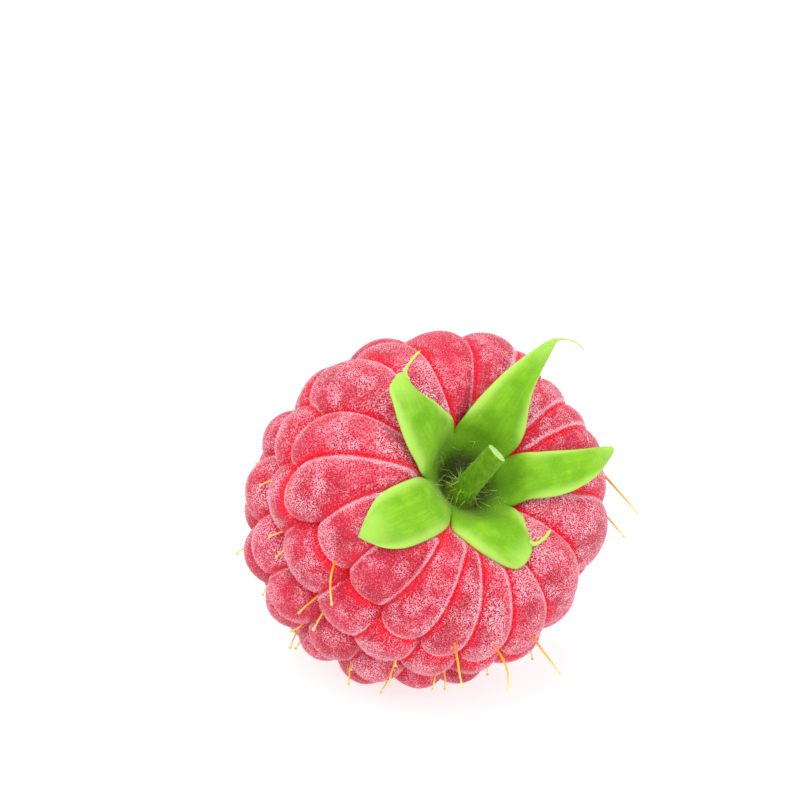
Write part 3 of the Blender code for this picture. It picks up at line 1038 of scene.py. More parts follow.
def make_calyx_mesh(lay):
    """The cup and the sepals as one closed body, with the numbers that its material reads."""
    shape = bmesh.new()
    layers = {name: shape.verts.layers.float.new(name) for name in CALYX_VALUES}
    for sepal in SEPALS:
        rows, across = sepal_middle(sepal)
        normals = sheet_normals(rows)
        above, below = sepal_thickness(len(rows), across)
        for side, thick in ((1, above), (-1, below)):
            points = rows + normals * (thick * side)[..., None]
            grid = [[shape.verts.new(point) for point in row] for row in points]
            for i, row in enumerate(grid):
                share = max(0.0, (i - CUP_STEPS) / SEPAL_STEPS)
                cup = min(1.0, i / CUP_STEPS)
                for vert, offset in zip(row, across):
                    edge = offset * offset * min(1.0, share * EDGE_RATE)
                    bristly = side > 0 and CUP_BRISTLES[0] < cup < CUP_BRISTLES[1]
                    out = math.hypot(vert.co.x, vert.co.y)
                    vert[layers["edge"]] = edge * (1 if side > 0 else UNDERSIDE_EDGE)
                    # Painted shade: how far in towards the axis, where the cup's colour is darkened.
                    vert[layers["shade_depth"]] = max(0.0, 1 - out / CUP_SHADE_REACH)
                    vert[layers["along"]] = share
                    vert[layers["across"]] = offset
                    vert[layers["hairy"]] = 1.0 if side > 0 else UNDERSIDE_HAIR
                    vert[layers["bristly"]] = cup - CUP_BRISTLES[0] if bristly else 0.0
            for row, next_row in zip(grid, grid[1:]):
                for a, b, c, d in zip(row, row[1:], next_row[1:], next_row):
                    shape.faces.new((a, d, c, b) if side > 0 else (a, b, c, d))
    for sepal in SEPALS:
        if sepal.thread > 0:
            path, radii = thread_path(sepal)
            add_tube(shape, path, radii, THREAD_SIDES, {layers["edge"]: 1.0, layers["along"]: 1.0})
    bmesh.ops.remove_doubles(shape, verts=shape.verts, dist=0.002 * MM)
    bmesh.ops.dissolve_degenerate(shape, edges=shape.edges, dist=0.0005 * MM)
    bmesh.ops.recalc_face_normals(shape, faces=shape.faces)
    shape.transform(lay)
    return shape


def thread_path(sepal):
    """Curled thread at a corner of a sepal's tip, as points and radii."""
    position, direction, sideways = sepal_midline(sepal)[-3]
    corner = sepal.thread_side * half_width(sepal, THREAD_CORNER, sepal.thread_side)
    position = position + sideways * corner - direction * THREAD_SUNK * MM
    rise = math.radians(sepal.thread_rise)
    start = math.atan2(direction.y, direction.x)
    way_slope = math.asin(max(-1.0, min(1.0, direction.z)))
    points, radii = [], []
    for i in range(THREAD_STEPS + 1):
        share = i / THREAD_STEPS
        points.append(position.copy())
        thick = THREAD_ROOT + (sepal.thread_thin - THREAD_ROOT) * min(1.0, share / THREAD_THINNED)
        close = max(0.0, share - THREAD_END) / THREAD_ROUND
        radii.append(thick * MM * math.sqrt(max(0.02, 1 - close)))
        turn = min(1.0, share / THREAD_TURNED)
        heading = start + math.radians(sepal.thread_turn) * turn
        heading += math.radians(sepal.curl) * share * share
        slope = way_slope + (rise - way_slope) * turn + math.radians(sepal.sag) * share * share
        level = math.cos(slope)
        step = (sepal.thread + THREAD_SUNK) * MM / THREAD_STEPS
        way = Vector((math.cos(heading) * level, math.sin(heading) * level, math.sin(slope)))
        position += way * step
    return points, radii


def add_tube(shape, points, radii, sides, values):
    """Closed round tube along points, added to a shape."""
    rings = []
    side = None
    for i, (point, radius) in enumerate(zip(points, radii)):
        ahead = (points[min(i + 1, len(points) - 1)] - points[max(i - 1, 0)]).normalized()
        if side is None:
            side = ahead.orthogonal().normalized()
        side = (side - ahead * side.dot(ahead)).normalized()
        other = ahead.cross(side)
        ring = []
        for k in range(sides):
            turn = 2 * math.pi * k / sides
            vert = shape.verts.new(point + (side * math.cos(turn) + other * math.sin(turn)) * radius)
            for layer, value in values.items():
                vert[layer] = value
            ring.append(vert)
        rings.append(ring)
    for ring, next_ring in zip(rings, rings[1:]):
        for k in range(sides):
            j = (k + 1) % sides
            shape.faces.new((ring[k], ring[j], next_ring[j], next_ring[k]))
    shape.faces.new(list(reversed(rings[0])))
    shape.faces.new(rings[-1])


# Stem


def make_stem_mesh(lay):
    """The cut stem: slightly ribbed, flared at its foot, with a cut end that slopes."""
    base, way = stem_axis()
    shape = bmesh.new()
    cut_layer = shape.verts.layers.float.new("cut")
    foot_shade_layer = shape.verts.layers.float.new("low")
    hairy_layer = shape.verts.layers.float.new("hairy")
    bristly_layer = shape.verts.layers.float.new("bristly")
    turn = Vector((0, 0, 1)).rotation_difference(way).to_matrix()
    rng = random.Random(STEM_SEED)
    waves = [(k, rng.uniform(0, 6.28), rng.uniform(*STEM_RIB_SIZES)) for k in STEM_RIBS]

    def ring(height, share, cut):
        radius = STEM_RADII[0] + (STEM_RADII[1] - STEM_RADII[0]) * height / STEM_LENGTH
        radius += STEM_PLUMP + STEM_FLARE * math.exp(-height / STEM_FLARE_REACH)
        verts = []
        for i in range(STEM_SIDES):
            angle = 2 * math.pi * i / STEM_SIDES
            r = radius * (1 + sum(size * math.cos(k * angle + start) for k, start, size in waves)) * share
            slope = STEM_CUT_SLOPE * r * math.cos(angle - STEM_CUT_HEADING)
            rise = height + slope * max(0.0, height / STEM_LENGTH) ** STEM_CUT_POWER
            vert = shape.verts.new(base + turn @ Vector((r * math.cos(angle), r * math.sin(angle), rise)))
            vert[cut_layer] = cut
            # Painted shade: the stem's foot, down in the recess, is darkened.
            vert[foot_shade_layer] = math.exp(-height / STEM_FOOT_SHADE_REACH)
            vert[hairy_layer] = STEM_DOWN
            vert[bristly_layer] = STEM_BRISTLES if height < STEM_BRISTLE_HEIGHT else 0.0
            verts.append(vert)
        return verts

    whole = STEM_LENGTH + STEM_SUNK
    levels = [whole * (i / STEM_STEPS) - STEM_SUNK for i in range(STEM_STEPS + 1)]
    rings = [ring(height, 1.0, 0.0) for height in levels[:-1]]
    for share, rise, cut in STEM_CUT_RINGS:
        rings.append(ring(STEM_LENGTH + rise * MM, share, cut))
    for first, second in zip(rings, rings[1:]):
        for k in range(STEM_SIDES):
            j = (k + 1) % STEM_SIDES
            shape.faces.new((first[k], first[j], second[j], second[k]))
    shape.faces.new(list(reversed(rings[0])))
    middle = shape.verts.new(base + turn @ Vector((0, 0, STEM_LENGTH - STEM_MIDDLE_DIP)))
    middle[cut_layer] = 1.0
    for k in range(STEM_SIDES):
        shape.faces.new((rings[-1][k], rings[-1][(k + 1) % STEM_SIDES], middle))
    bmesh.ops.recalc_face_normals(shape, faces=shape.faces)
    shape.transform(lay)
    return shape


# Styles


def style_lines(layout, lay):
    """Root, heading and length of every style on the upright fruit."""
    rng = random.Random(STYLE_SEED)
    down = lay.to_3x3().inverted() @ Vector((0, 0, -1))
    lines = []
    for drupelet, side in itertools.product(layout, (-1, 1)):
        share = STYLE_SHARES[drupelet.row] * (SECOND_STYLE if side > 0 else 1.0)
        chosen = rng.random() < share
        length = rng.uniform(*STYLE_LENGTHS)
        lean = Vector((side * rng.uniform(*STYLE_LEAN_ACROSS), rng.uniform(*STYLE_LEAN_ALONG), 1.0))
        across, along = side * rng.uniform(*STYLE_ACROSS), rng.uniform(*STYLE_ALONG)
        if drupelet.row == 0:
            across *= CROWN_STYLE_ACROSS
            along = CROWN_STYLE_ALONG[0] + CROWN_STYLE_ALONG[1] * along
        corner = Vector((across * drupelet.width, along * drupelet.length, STYLE_DEPTH * drupelet.depth))
        root = drupelet.place @ corner
        heading = (drupelet.place.to_3x3() @ lean.normalized() + down * STYLE_HANG).normalized()
        tip = root + heading * length
        root_height, tip_height = (lay @ root).z, (lay @ tip).z
        if chosen and STYLE_CLEARANCE < tip_height < root_height - STYLE_DROP * length:
            lines.append((root, heading, length))
    return lines


def style_paths(layout, lay):
    """Bent line of every style, from a root sunk in the flesh to its tip, in the part's frame."""
    rng = random.Random(STYLE_SEED + 1)
    paths = []
    for root, heading, length in style_lines(layout, lay):
        side = heading.orthogonal().normalized()
        side.rotate(Matrix.Rotation(rng.uniform(0, 2 * math.pi), 3, heading))
        bend = rng.uniform(*STYLE_BEND) * length
        kink = rng.uniform(-STYLE_KINK, STYLE_KINK) * length
        path = []
        for i in range(STYLE_POINTS):
            share = i / (STYLE_POINTS - 1)
            out = -STYLE_SUNK + (length + STYLE_SUNK) * share
            sway = bend * math.sin(math.pi * share) + kink * max(0.0, share - KINK_FROM) / (1 - KINK_FROM)
            path.append(lay @ (root + heading * out + side * sway))
        paths.append(path)
    return paths


def style_skeleton(layout, lay):
    """Edges that the styles are grown along, each point with how far along its style it is."""
    mesh = bpy.data.meshes.new("style_lines")
    points, edges, shares = [], [], []
    for path in style_paths(layout, lay):
        start = len(points)
        points.extend(tuple(point) for point in path)
        edges.extend((start + i, start + i + 1) for i in range(len(path) - 1))
        shares.extend(i / (len(path) - 1) for i in range(len(path)))
    mesh.from_pydata(points, edges, [])
    obj = linked("styles", mesh)
    add_values(obj, "along", shares)
    return obj


# Geometry node trees


class Tree:
    """A geometry node tree under construction, with named inputs."""

    def __init__(self, name, inputs):
        self.group = bpy.data.node_groups.new(name, "GeometryNodeTree")
        interface = self.group.interface
        interface.new_socket("Geometry", in_out="INPUT", socket_type="NodeSocketGeometry")
        for label, kind, value in inputs:
            socket = interface.new_socket(label, in_out="INPUT", socket_type=kind)
            if value is not None:
                socket.default_value = value
        interface.new_socket("Geometry", in_out="OUTPUT", socket_type="NodeSocketGeometry")
        self.inputs = self.add("NodeGroupInput").outputs
        self.output = self.add("NodeGroupOutput").inputs[0]

    def add(self, kind, links=(), **settings):
        """New node with its settings, each input a constant or a socket."""
        node = self.group.nodes.new(kind)
        for key, value in settings.items():
            setattr(node, key, value)
        for name, given in dict(links).items():
            socket = node.inputs[name]
            if hasattr(given, "is_linked"):
                self.group.links.new(given, socket)
            else:
                socket.default_value = given
        return node

    def finish(self, geometry):
        """Close the tree: single meshes in the piece's material."""
        realized = self.add("GeometryNodeRealizeInstances", {"Geometry": geometry}).outputs[0]
        finish = {"Geometry": realized, "Material": self.inputs["Material"]}
        coloured = self.add("GeometryNodeSetMaterial", finish)
        self.group.links.new(coloured.outputs[0], self.output)
        return self.group


def grown(obj, group, values):
    """Run a tree on an object and put the result in its mesh."""
    modifier = obj.modifiers.new(group.name, "NODES")
    modifier.node_group = group
    for item in group.interface.items_tree:
        if item.in_out == "INPUT" and item.name in values:
            modifier[item.identifier] = values[item.name]
    obj.update_tag()
    bpy.context.view_layer.update()
    depsgraph = bpy.context.evaluated_depsgraph_get()
    mesh = bpy.data.meshes.new_from_object(obj.evaluated_get(depsgraph))
    obj.modifiers.clear()
    old = obj.data
    obj.data = mesh
    bpy.data.meshes.remove(old)


def style_tree():
    """Round tubes along the lines, with a knob at each tip."""
    tree = Tree(
        "styles",
        (
            ("Radius", "NodeSocketFloat", 0.08 * MM),
            ("Knob", "NodeSocketFloat", 0.12 * MM),
            ("Material", "NodeSocketMaterial", None),
        ),
    )
    curve = tree.add("GeometryNodeMeshToCurve", {"Mesh": tree.inputs["Geometry"]}).outputs[0]
    along = tree.add("GeometryNodeInputNamedAttribute", {"Name": "along"}, data_type="FLOAT")
    thin = tree.add(
        "ShaderNodeMapRange",
        {"Value": along.outputs["Attribute"], "To Min": STYLE_TAPER[0], "To Max": STYLE_TAPER[1]},
    )
    radius = tree.add(
        "ShaderNodeMath", {0: thin.outputs["Result"], 1: tree.inputs["Radius"]}, operation="MULTIPLY"
    )
    profile = tree.add("GeometryNodeCurvePrimitiveCircle", {"Resolution": STYLE_SIDES, "Radius": 1.0})
    tube = tree.add(
        "GeometryNodeCurveToMesh",
        {
            "Curve": curve,
            "Profile Curve": profile.outputs[0],
            "Scale": radius.outputs[0],
            "Fill Caps": True,
        },
    )
    ball = tree.add("GeometryNodeMeshIcoSphere", {"Radius": 1.0, "Subdivisions": 2})
    points = tree.add("GeometryNodeCurveToPoints", {"Curve": curve}, mode="EVALUATED")
    at_tip = tree.add(
        "FunctionNodeCompare",
        {"A": along.outputs["Attribute"], "B": 0.999},
        operation="GREATER_THAN",
        data_type="FLOAT",
    )
    knobs = tree.add(
        "GeometryNodeInstanceOnPoints",
        {
            "Points": points.outputs[0],
            "Selection": at_tip.outputs[0],
            "Instance": ball.outputs[0],
            "Scale": tree.inputs["Knob"],
        },
    )
    joined = tree.add("GeometryNodeJoinGeometry")
    tree.group.links.new(tube.outputs[0], joined.inputs[0])
    tree.group.links.new(knobs.outputs[0], joined.inputs[0])
    smooth = tree.add("GeometryNodeSetShadeSmooth", {"Geometry": joined.outputs[0]})
    return tree.finish(smooth.outputs[0])


def hair_tree():
    """Fine needles standing on a surface, as dense as one of its numbers says."""
    tree = Tree(
        "hairs",
        (
            ("Length", "NodeSocketFloat", 0.25 * MM),
            ("Radius", "NodeSocketFloat", 0.01 * MM),
            ("Density", "NodeSocketFloat", 1e7),
            ("Tilt", "NodeSocketFloat", 0.6),
            ("Seed", "NodeSocketInt", 1),
            ("Where", "NodeSocketString", "hairy"),
            ("Material", "NodeSocketMaterial", None),
        ),
    )
    where = tree.add("GeometryNodeInputNamedAttribute", {"Name": tree.inputs["Where"]}, data_type="FLOAT")
    density = tree.add(
        "ShaderNodeMath", {0: where.outputs["Attribute"], 1: tree.inputs["Density"]}, operation="MULTIPLY"
    )
    points = tree.add(
        "GeometryNodeDistributePointsOnFaces",
        {"Mesh": tree.inputs["Geometry"], "Density": density.outputs[0], "Seed": tree.inputs["Seed"]},
        distribute_method="RANDOM",
    )
    cone = tree.add(
        "GeometryNodeMeshCone",
        {
            "Vertices": HAIR_SIDES,
            "Radius Top": 0.0,
            "Radius Bottom": tree.inputs["Radius"],
            "Depth": tree.inputs["Length"],
        },
    )
    most = tree.inputs["Tilt"]
    least = tree.add("ShaderNodeMath", {0: most, 1: -1.0}, operation="MULTIPLY").outputs[0]
    low = tree.add("ShaderNodeCombineXYZ", {"X": least, "Y": least, "Z": -HAIR_TURN})
    high = tree.add("ShaderNodeCombineXYZ", {"X": most, "Y": most, "Z": HAIR_TURN})
    turn = tree.add(
        "FunctionNodeRandomValue",
        {0: low.outputs[0], 1: high.outputs[0], "Seed": tree.inputs["Seed"]},
        data_type="FLOAT_VECTOR",
    )
    size = tree.add(
        "FunctionNodeRandomValue",
        {2: HAIR_SIZES[0], 3: HAIR_SIZES[1], "Seed": tree.inputs["Seed"]},
        data_type="FLOAT",
    )
    hairs = tree.add(
        "GeometryNodeInstanceOnPoints",
        {
            "Points": points.outputs["Points"],
            "Instance": cone.outputs[0],
            "Rotation": points.outputs["Rotation"],
            "Scale": size.outputs[1],
        },
    )
    leaning = tree.add(
        "GeometryNodeRotateInstances", {"Instances": hairs.outputs[0], "Rotation": turn.outputs[0]}
    )
    return tree.finish(leaning.outputs[0])


# Materials


class Nodes:
    """Short way to write a material's nodes."""

    def __init__(self, name):
        self.material = bpy.data.materials.new(name)
        self.material.use_nodes = True
        self.tree = self.material.node_tree
        self.surface = self.tree.nodes["Principled BSDF"]

    def add(self, kind, **settings):
        """New node with its settings."""
        node = self.tree.nodes.new(kind)
        for key, value in settings.items():
            setattr(node, key, value)
        return node

    def link(self, source, target):
        self.tree.links.new(source, target)

    def position(self):
        """Place on the piece, in metres."""
        return self.add("ShaderNodeTexCoord").outputs["Object"]

    def value(self, name):
        """One of the numbers that the piece's mesh carries."""
        return self.add("ShaderNodeAttribute", attribute_name=name).outputs["Fac"]

    def noise(self, scale, detail=2.0, roughness=0.5, vector=None):
        """Cloudy pattern, in waves to the metre."""
        node = self.add("ShaderNodeTexNoise")
        node.inputs["Scale"].default_value = scale
        node.inputs["Detail"].default_value = detail
        node.inputs["Roughness"].default_value = roughness
        self.link(vector or self.position(), node.inputs["Vector"])
        return node.outputs["Fac"]

    def ramp(self, factor, low, high, from_value=0.0, to_value=1.0):
        """Soft step of a number."""
        node = self.add("ShaderNodeMapRange")
        node.interpolation_type = "SMOOTHSTEP"
        node.inputs["From Min"].default_value = low
        node.inputs["From Max"].default_value = high
        node.inputs["To Min"].default_value = from_value
        node.inputs["To Max"].default_value = to_value
        self.link(factor, node.inputs["Value"])
        return node.outputs["Result"]

    def maths(self, operation, first, second):
        """Sum on two numbers, each a constant or a socket."""
        node = self.add("ShaderNodeMath", operation=operation)
        for socket, given in zip(node.inputs, (first, second)):
            if isinstance(given, (int, float)):
                socket.default_value = given
            else:
                self.link(given, socket)
        return node.outputs[0]

    def mix(self, factor, first, second):
        """Blend of two colours, each a constant or a socket."""
        node = self.add("ShaderNodeMix", data_type="RGBA")
        sockets = [s for s in node.inputs if s.type == "RGBA"]
        fac = node.inputs[0]
        for socket, given in ((fac, factor), (sockets[0], first), (sockets[1], second)):
            if isinstance(given, (int, float)):
                socket.default_value = given
            elif hasattr(given, "is_linked"):
                self.link(given, socket)
            else:
                socket.default_value = (*given, 1.0)
        return [s for s in node.outputs if s.type == "RGBA"][0]

    def bump(self, height, distance, strength=1.0, normal=None):
        """Relief of the surface, over another one if one is given."""
        node = self.add("ShaderNodeBump")
        node.inputs["Distance"].default_value = distance
        node.inputs["Strength"].default_value = strength
        self.link(height, node.inputs["Height"])
        if normal:
            self.link(normal, node.inputs["Normal"])
        return node.outputs["Normal"]

    def set(self, **values):
        """Constants of the surface, by the names of its sockets."""
        for name, value in values.items():
            self.surface.inputs[name.replace("_", " ")].default_value = value


def drupelet_material(settings):
    """Red skin with pale bloom in patches, pale rims of painted sheen, and creases in a brighter red and a
    glow that are painted light coming through the flesh.
    """
    nodes = Nodes("drupelet_skin")
    dome, rim, tone = (nodes.value(name) for name in ("dome", "rim", "tone"))
    mottle = nodes.noise(330.0, 3.0, 0.55)
    patch = nodes.noise(760.0, 4.0, 0.6)
    fleck = nodes.noise(12500.0, 2.0, 0.6)
    grain = nodes.noise(26000.0, 1.0, 0.5)
    ragged = nodes.maths("ADD", dome, nodes.ramp(patch, 0.3, 0.7, -0.20, 0.20))
    skin = nodes.mix(nodes.ramp(mottle, 0.38, 0.66), tuple(settings.skin), (0.44, 0.002, 0.024))
    # Painted light: creases take a brighter, purer red that stands in for light coming through the flesh.
    skin = nodes.mix(nodes.ramp(ragged, -0.10, 0.70), tuple(settings.crease), skin)
    frost_and_sheen = nodes.ramp(patch, 0.34, 0.68, 0.07, 0.82)
    frost_and_sheen = nodes.maths("ADD", frost_and_sheen, nodes.maths("MULTIPLY", tone, 0.20))
    # Painted sheen: the rims get denser pale flecks.
    frost_and_sheen = nodes.maths("ADD", frost_and_sheen, nodes.ramp(rim, 0.1, 0.9, 0.0, 0.55))
    bare = nodes.ramp(ragged, -0.1, 1.0, 0.10, 0.0)
    flecks_and_sheen = nodes.ramp(nodes.maths("SUBTRACT", fleck, bare), 0.46, 0.60)
    flecks_and_sheen = nodes.maths("MULTIPLY", flecks_and_sheen, nodes.ramp(frost_and_sheen, 0.0, 1.0, 0.10, 0.95))
    # Painted sheen: the rims are blended towards a pale pink.
    skin = nodes.mix(nodes.ramp(rim, 0.60, 1.0, 0.0, 0.45), skin, (0.86, 0.40, 0.50))
    skin = nodes.mix(flecks_and_sheen, skin, tuple(settings.bloom_and_sheen))
    nodes.link(skin, nodes.surface.inputs["Base Color"])
    nodes.link(nodes.ramp(patch, 0.3, 0.7, 0.52, 0.66), nodes.surface.inputs["Roughness"])
    # Painted glow: emission in the creases stands in for light that has passed through the flesh.
    glow = nodes.ramp(dome, 0.0, 0.30, settings.glow, 0.0)
    nodes.link(glow, nodes.surface.inputs["Emission Strength"])
    grainy = nodes.bump(grain, 0.010 * MM, 0.6)
    nodes.link(nodes.bump(fleck, 0.022 * MM, 0.8, grainy), nodes.surface.inputs["Normal"])
    nodes.set(
        Emission_Color=(1.0, 0.01, 0.04, 1.0),
        Subsurface_Weight=0.85,
        Subsurface_Radius=(1.0, 0.12, 0.10),
        Subsurface_Scale=1.6 * MM,
        Sheen_Weight=0.40,
        Sheen_Roughness=0.28,
        Sheen_Tint=(1.0, 0.78, 0.92, 1.0),
        Specular_IOR_Level=0.2,
    )
    return nodes.material


def calyx_material(settings):
    """Soft green flesh: streaked along the sepals, darker along their middles, pale at the margins, and
    darkened down in the cup with painted shade.
    """
    nodes = Nodes("calyx_green")
    edge, shade_depth, along, across = (nodes.value(name) for name in ("edge", "shade_depth", "along", "across"))
    streaks = nodes.add("ShaderNodeCombineXYZ")
    nodes.link(nodes.maths("MULTIPLY", across, 5.0), streaks.inputs["X"])
    nodes.link(nodes.maths("MULTIPLY", along, 1.6), streaks.inputs["Y"])
    vein = nodes.noise(2.2, 4.0, 0.6, streaks.outputs[0])
    mottle = nodes.noise(900.0, 3.0, 0.55)
    velvet = nodes.noise(9000.0, 2.0, 0.6)
    leaf = nodes.mix(nodes.ramp(vein, 0.30, 0.75, 0.0, 0.8), tuple(settings.leaf), (0.27, 0.54, 0.020))
    leaf = nodes.mix(nodes.ramp(mottle, 0.38, 0.66, 0.0, 0.7), leaf, (0.115, 0.33, 0.001))
    rib = nodes.ramp(nodes.maths("ABSOLUTE", across, 0.0), 0.0, 0.28, 0.40, 0.0)
    leaf = nodes.mix(rib, leaf, (0.125, 0.36, 0.002))
    pale_edge = nodes.ramp(edge, 0.22, 0.90, 0.0, 0.9)
    pale = nodes.maths("MAXIMUM", pale_edge, nodes.ramp(along, 0.60, 1.0, 0.0, 0.7))
    leaf = nodes.mix(pale, leaf, tuple(settings.margin))
    # Painted shade: the cup darkens towards the axis, first to olive, then to the dark recess colour.
    leaf = nodes.mix(nodes.ramp(shade_depth, 0.20, 0.60, 0.0, 0.85), leaf, (0.085, 0.21, 0.001))
    leaf = nodes.mix(nodes.ramp(shade_depth, 0.51, 0.69), leaf, tuple(settings.recess_shade))
    leaf = nodes.mix(nodes.ramp(velvet, 0.45, 0.75, 0.0, 0.12), leaf, (0.45, 0.66, 0.14))
    nodes.link(leaf, nodes.surface.inputs["Base Color"])
    nodes.link(nodes.ramp(mottle, 0.3, 0.7, 0.52, 0.66), nodes.surface.inputs["Roughness"])
    fine = nodes.bump(velvet, 0.015 * MM, 0.5)
    nodes.link(nodes.bump(vein, 0.02 * MM, 0.4, fine), nodes.surface.inputs["Normal"])
    nodes.set(
        Subsurface_Weight=0.25,
        Subsurface_Radius=(0.5, 1.0, 0.15),
        Subsurface_Scale=0.5 * MM,
        Sheen_Weight=0.22,
        Sheen_Roughness=0.45,
        Sheen_Tint=(0.85, 1.0, 0.45, 1.0),
        Specular_IOR_Level=0.18,
    )
    return nodes.material


def stem_material(settings):
    """Green bark, darkened at the foot with painted shade, and a paler cut end with painted highlights in its
    fibres.
    """
    nodes = Nodes("stem_green")
    cut, low = nodes.value("cut"), nodes.value("low")
    grain = nodes.noise(2600.0, 4.0, 0.6)
    fibre = nodes.noise(9000.0, 2.0, 0.65)
    bark = nodes.mix(nodes.ramp(grain, 0.35, 0.70), tuple(settings.bark), (0.17, 0.37, 0.003))
    # Painted shade: the foot is darkened where it stands down in the cup.
    bark = nodes.mix(nodes.ramp(low, 0.25, 0.9, 0.0, 0.75), bark, (0.085, 0.14, 0.001))
    # The cut end's own paler colour, with paler flecks from the fibre noise as painted highlights.
    face = nodes.mix(nodes.ramp(fibre, 0.40, 0.65), tuple(settings.cut), (0.50, 0.68, 0.30))
    both = nodes.mix(nodes.ramp(cut, 0.3, 0.8), bark, face)
    nodes.link(both, nodes.surface.inputs["Base Color"])
    nodes.link(nodes.ramp(grain, 0.3, 0.7, 0.48, 0.64), nodes.surface.inputs["Roughness"])
    nodes.link(nodes.bump(fibre, 0.03 * MM, 0.6), nodes.surface.inputs["Normal"])
    nodes.set(
        Subsurface_Weight=0.2,
        Subsurface_Radius=(0.5, 1.0, 0.15),
        Subsurface_Scale=0.4 * MM,
        Sheen_Weight=0.12,
        Sheen_Tint=(0.85, 1.0, 0.45, 1.0),
        Specular_IOR_Level=0.18,
    )
    return nodes.material


def style_material(settings):
    """Dry amber, redder at the root and paler at the tip."""
    nodes = Nodes("dried_style")
    along = nodes.value("along")
    grain = nodes.noise(5000.0, 2.0, 0.6)
    colour = nodes.mix(nodes.ramp(along, 0.15, 0.50), tuple(settings.root), tuple(settings.shaft))
    colour = nodes.mix(nodes.ramp(along, 0.60, 0.98), colour, tuple(settings.tip))
    colour = nodes.mix(nodes.ramp(grain, 0.5, 0.75, 0.0, 0.3), colour, (0.48, 0.17, 0.01))
    nodes.link(colour, nodes.surface.inputs["Base Color"])
    nodes.set(Roughness=0.42, Subsurface_Weight=0.2, Subsurface_Scale=0.2 * MM)
    return nodes.material


def hair_material(name, colour):
    """Fine plant hair."""
    nodes = Nodes(name)
    nodes.set(Base_Color=(*colour, 1.0), Specular_IOR_Level=0.4, Sheen_Weight=0.3)
    grain = nodes.noise(3000.0, 1.0, 0.5)
    nodes.link(nodes.ramp(grain, 0.3, 0.7, 0.38, 0.60), nodes.surface.inputs["Roughness"])
    return nodes.material


# Stage


def aim(obj, target):
    """Turn a lamp or camera to look at a point."""
    obj.rotation_mode = "QUATERNION"
    obj.rotation_quaternion = (target - obj.location).to_track_quat("-Z", "Y")


def area_lamp(name, place, target, size, watts):
    """Round soft lamp."""
    data = bpy.data.lights.new(name, "AREA")
    data.shape = "DISK"
    data.size = size
    data.energy = watts
    lamp = linked(name, data)
    lamp.location = place
    aim(lamp, target)


def make_camera(settings, lay):
    """Camera in front of the fruit, looking down at it."""
    crown = lay.translation
    back = Vector((0, -math.cos(settings.elevation), math.sin(settings.elevation)))
    up = Vector((0, math.sin(settings.elevation), math.cos(settings.elevation)))
    data = bpy.data.cameras.new("camera")
    data.lens = settings.lens
    data.clip_start = 1 * MM
    data.clip_end = 10.0
    camera = linked("camera", data)
    right, rise = (share * settings.field for share in CROWN_IN_VIEW)
    target = crown + Vector((1, 0, 0)) * right + up * rise
    camera.location = target + back * settings.field * settings.lens / data.sensor_width
    aim(camera, target)
    bpy.context.scene.camera = camera


def make_stage(settings):
    """Pale floor that gives a little light, white surroundings and soft lamps."""
    shape = bmesh.new()
    bmesh.ops.create_grid(shape, x_segments=1, y_segments=1, size=FLOOR_SIZE / 2)
    mesh = bpy.data.meshes.new("floor")
    shape.to_mesh(mesh)
    shape.free()
    floor = linked("floor", mesh)
    nodes = Nodes("floor")
    nodes.set(Base_Color=(*settings.floor, 1.0), Roughness=0.9, Specular_IOR_Level=0.1)
    nodes.set(Emission_Color=(1.0, 0.98, 0.98, 1.0), Emission_Strength=settings.glow)
    floor.data.materials.append(nodes.material)

    world = bpy.data.worlds.new("studio")
    world.use_nodes = True
    background = world.node_tree.nodes["Background"]
    background.inputs["Color"].default_value = (1.0, 1.0, 1.0, 1.0)
    background.inputs["Strength"].default_value = SKY_STRENGTH
    bpy.context.scene.world = world
    for name, place, size, watts in LAMPS:
        area_lamp(name, Vector(place), LAMPS_AIM, size, watts * settings.light)
    scene = bpy.context.scene
    scene.view_settings.view_transform = "Standard"
    scene.view_settings.look = "None"
    scene.view_settings.exposure = 0.0


def grow_hairs(skin_name, name, group, values, node):
    """Hairs on a finished piece, as a piece of their own."""
    skin = bpy.data.objects[skin_name]
    obj = skin.copy()
    obj.data = skin.data.copy()
    obj.name = name
    bpy.context.scene.collection.objects.link(obj)
    grown(obj, group, values)
    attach(obj, "root")
    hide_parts(node)


# Operators


class RASPBERRY_OT_drupelets(bpy.types.Operator):
    """Build the drupelets, pressed against each other, on their receptacle"""

    bl_idname = "raspberry.drupelets"
    bl_label = "Drupelets"

    def execute(self, context):
        settings = context.scene.raspberry_drupelets
        lay = lying()
        shells = [Shell(drupelet) for drupelet in drupelets()]
        cover = Cover()
        material = drupelet_material(settings)
        for name, first, last, cuts in DRUPELET_PIECES:
            obj = make_drupelet_piece(name, shells, first, last, cuts, lay, cover, settings)
            if first == 0:
                add_receptacle(obj, lay)
            obj.data.materials.append(material)
            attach(obj, "root")
            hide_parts("drupelets")
        return {"FINISHED"}


class RASPBERRY_OT_styles(bpy.types.Operator):
    """Build the dried styles that stand between the drupelets"""

    bl_idname = "raspberry.styles"
    bl_label = "Styles"

    def execute(self, context):
        settings = context.scene.raspberry_styles
        obj = style_skeleton(drupelets(), lying())
        values = {"Radius": settings.radius, "Knob": settings.knob, "Material": style_material(settings)}
        grown(obj, style_tree(), values)
        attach(obj, "root")
        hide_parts("drupelets")
        return {"FINISHED"}


class RASPBERRY_OT_calyx(bpy.types.Operator):
    """Build the calyx: its cup, its sepals and their threads"""

    bl_idname = "raspberry.calyx"
    bl_label = "Calyx"

    def execute(self, context):
        obj = object_from(make_calyx_mesh(lying()), "sepals")
        obj.data.materials.append(calyx_material(context.scene.raspberry_calyx))
        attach(obj, "root")
        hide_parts("calyx")
        return {"FINISHED"}


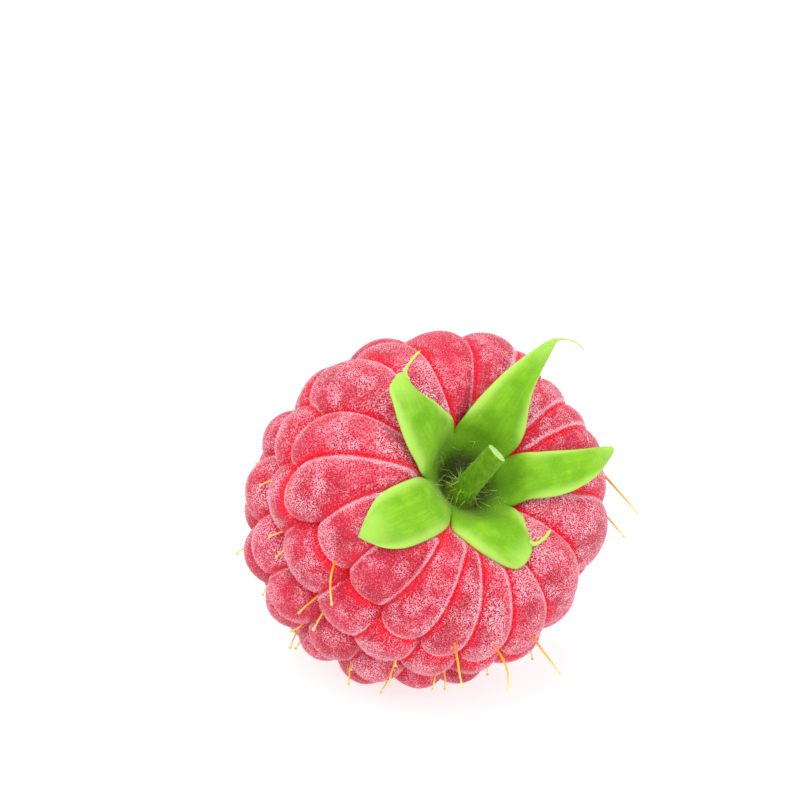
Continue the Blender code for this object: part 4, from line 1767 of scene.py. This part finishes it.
class RASPBERRY_OT_stem(bpy.types.Operator):
    """Build the cut stem"""

    bl_idname = "raspberry.stem"
    bl_label = "Stem"

    def execute(self, context):
        obj = object_from(make_stem_mesh(lying()), "cut_stem")
        obj.data.materials.append(stem_material(context.scene.raspberry_stem))
        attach(obj, "root")
        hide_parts("stem")
        return {"FINISHED"}


class RASPBERRY_OT_hairs(bpy.types.Operator):
    """Grow the fine hairs on the drupelets, the calyx and the stem"""

    bl_idname = "raspberry.hairs"
    bl_label = "Hairs"

    def execute(self, context):
        settings = context.scene.raspberry_hairs
        group = hair_tree()
        pink = hair_material("drupelet_hair", tuple(settings.colour))
        green = hair_material("calyx_hair", tuple(context.scene.raspberry_calyx.hair))
        short = {"Length": settings.length, "Radius": settings.radius, "Density": settings.per_mm2 / MM**2}
        for seed, (name, *_) in enumerate(DRUPELET_PIECES):
            values = {**short, "Seed": HAIR_SEED + seed, "Material": pink}
            grow_hairs(name, name + "_hairs", group, values, "drupelets")
        for skin, name, values, node, slot in GREEN_HAIRS:
            grow_hairs(skin, name, group, {**values, "Material": green}, node)
        return {"FINISHED"}


class RASPBERRY_OT_stage(bpy.types.Operator):
    """Build the floor, the studio light and the camera"""

    bl_idname = "raspberry.stage"
    bl_label = "Stage"

    def execute(self, context):
        settings = context.scene.raspberry_stage
        make_stage(settings)
        make_camera(settings, lying())
        return {"FINISHED"}


class RASPBERRY_PT_panel(bpy.types.Panel):
    """Raspberry pieces and their settings"""

    bl_label = "Raspberry"
    bl_idname = "RASPBERRY_PT_panel"
    bl_space_type = "VIEW_3D"
    bl_region_type = "UI"
    bl_category = "Raspberry"

    def draw(self, context):
        for operator, settings, _ in PARTS:
            column = self.layout.column()
            column.operator(operator)
            group = getattr(context.scene, settings)
            for key in group.bl_rna.properties.keys():
                if key not in ("rna_type", "name"):
                    column.prop(group, key)


PARTS = (
    ("raspberry.stage", "raspberry_stage", RaspberryStage),
    ("raspberry.drupelets", "raspberry_drupelets", RaspberryDrupelets),
    ("raspberry.hairs", "raspberry_hairs", RaspberryHairs),
    ("raspberry.styles", "raspberry_styles", RaspberryStyles),
    ("raspberry.calyx", "raspberry_calyx", RaspberryCalyx),
    ("raspberry.stem", "raspberry_stem", RaspberryStem),
)
OPERATORS = (
    RASPBERRY_OT_stage,
    RASPBERRY_OT_drupelets,
    RASPBERRY_OT_hairs,
    RASPBERRY_OT_styles,
    RASPBERRY_OT_calyx,
    RASPBERRY_OT_stem,
)


def register():
    for operator, settings, group in PARTS:
        bpy.utils.register_class(group)
        setattr(bpy.types.Scene, settings, PointerProperty(type=group))
    for operator in OPERATORS:
        bpy.utils.register_class(operator)
    bpy.utils.register_class(RASPBERRY_PT_panel)


def unregister():
    bpy.utils.unregister_class(RASPBERRY_PT_panel)
    for operator in reversed(OPERATORS):
        bpy.utils.unregister_class(operator)
    for operator, settings, group in reversed(PARTS):
        delattr(bpy.types.Scene, settings)
        bpy.utils.unregister_class(group)


def main():
    """Build everything."""
    register()
    bpy.ops.raspberry.stage()
    bpy.ops.raspberry.drupelets()
    bpy.ops.raspberry.styles()
    bpy.ops.raspberry.calyx()
    bpy.ops.raspberry.stem()
    bpy.ops.raspberry.hairs()


if __name__ == "__main__":
    main()
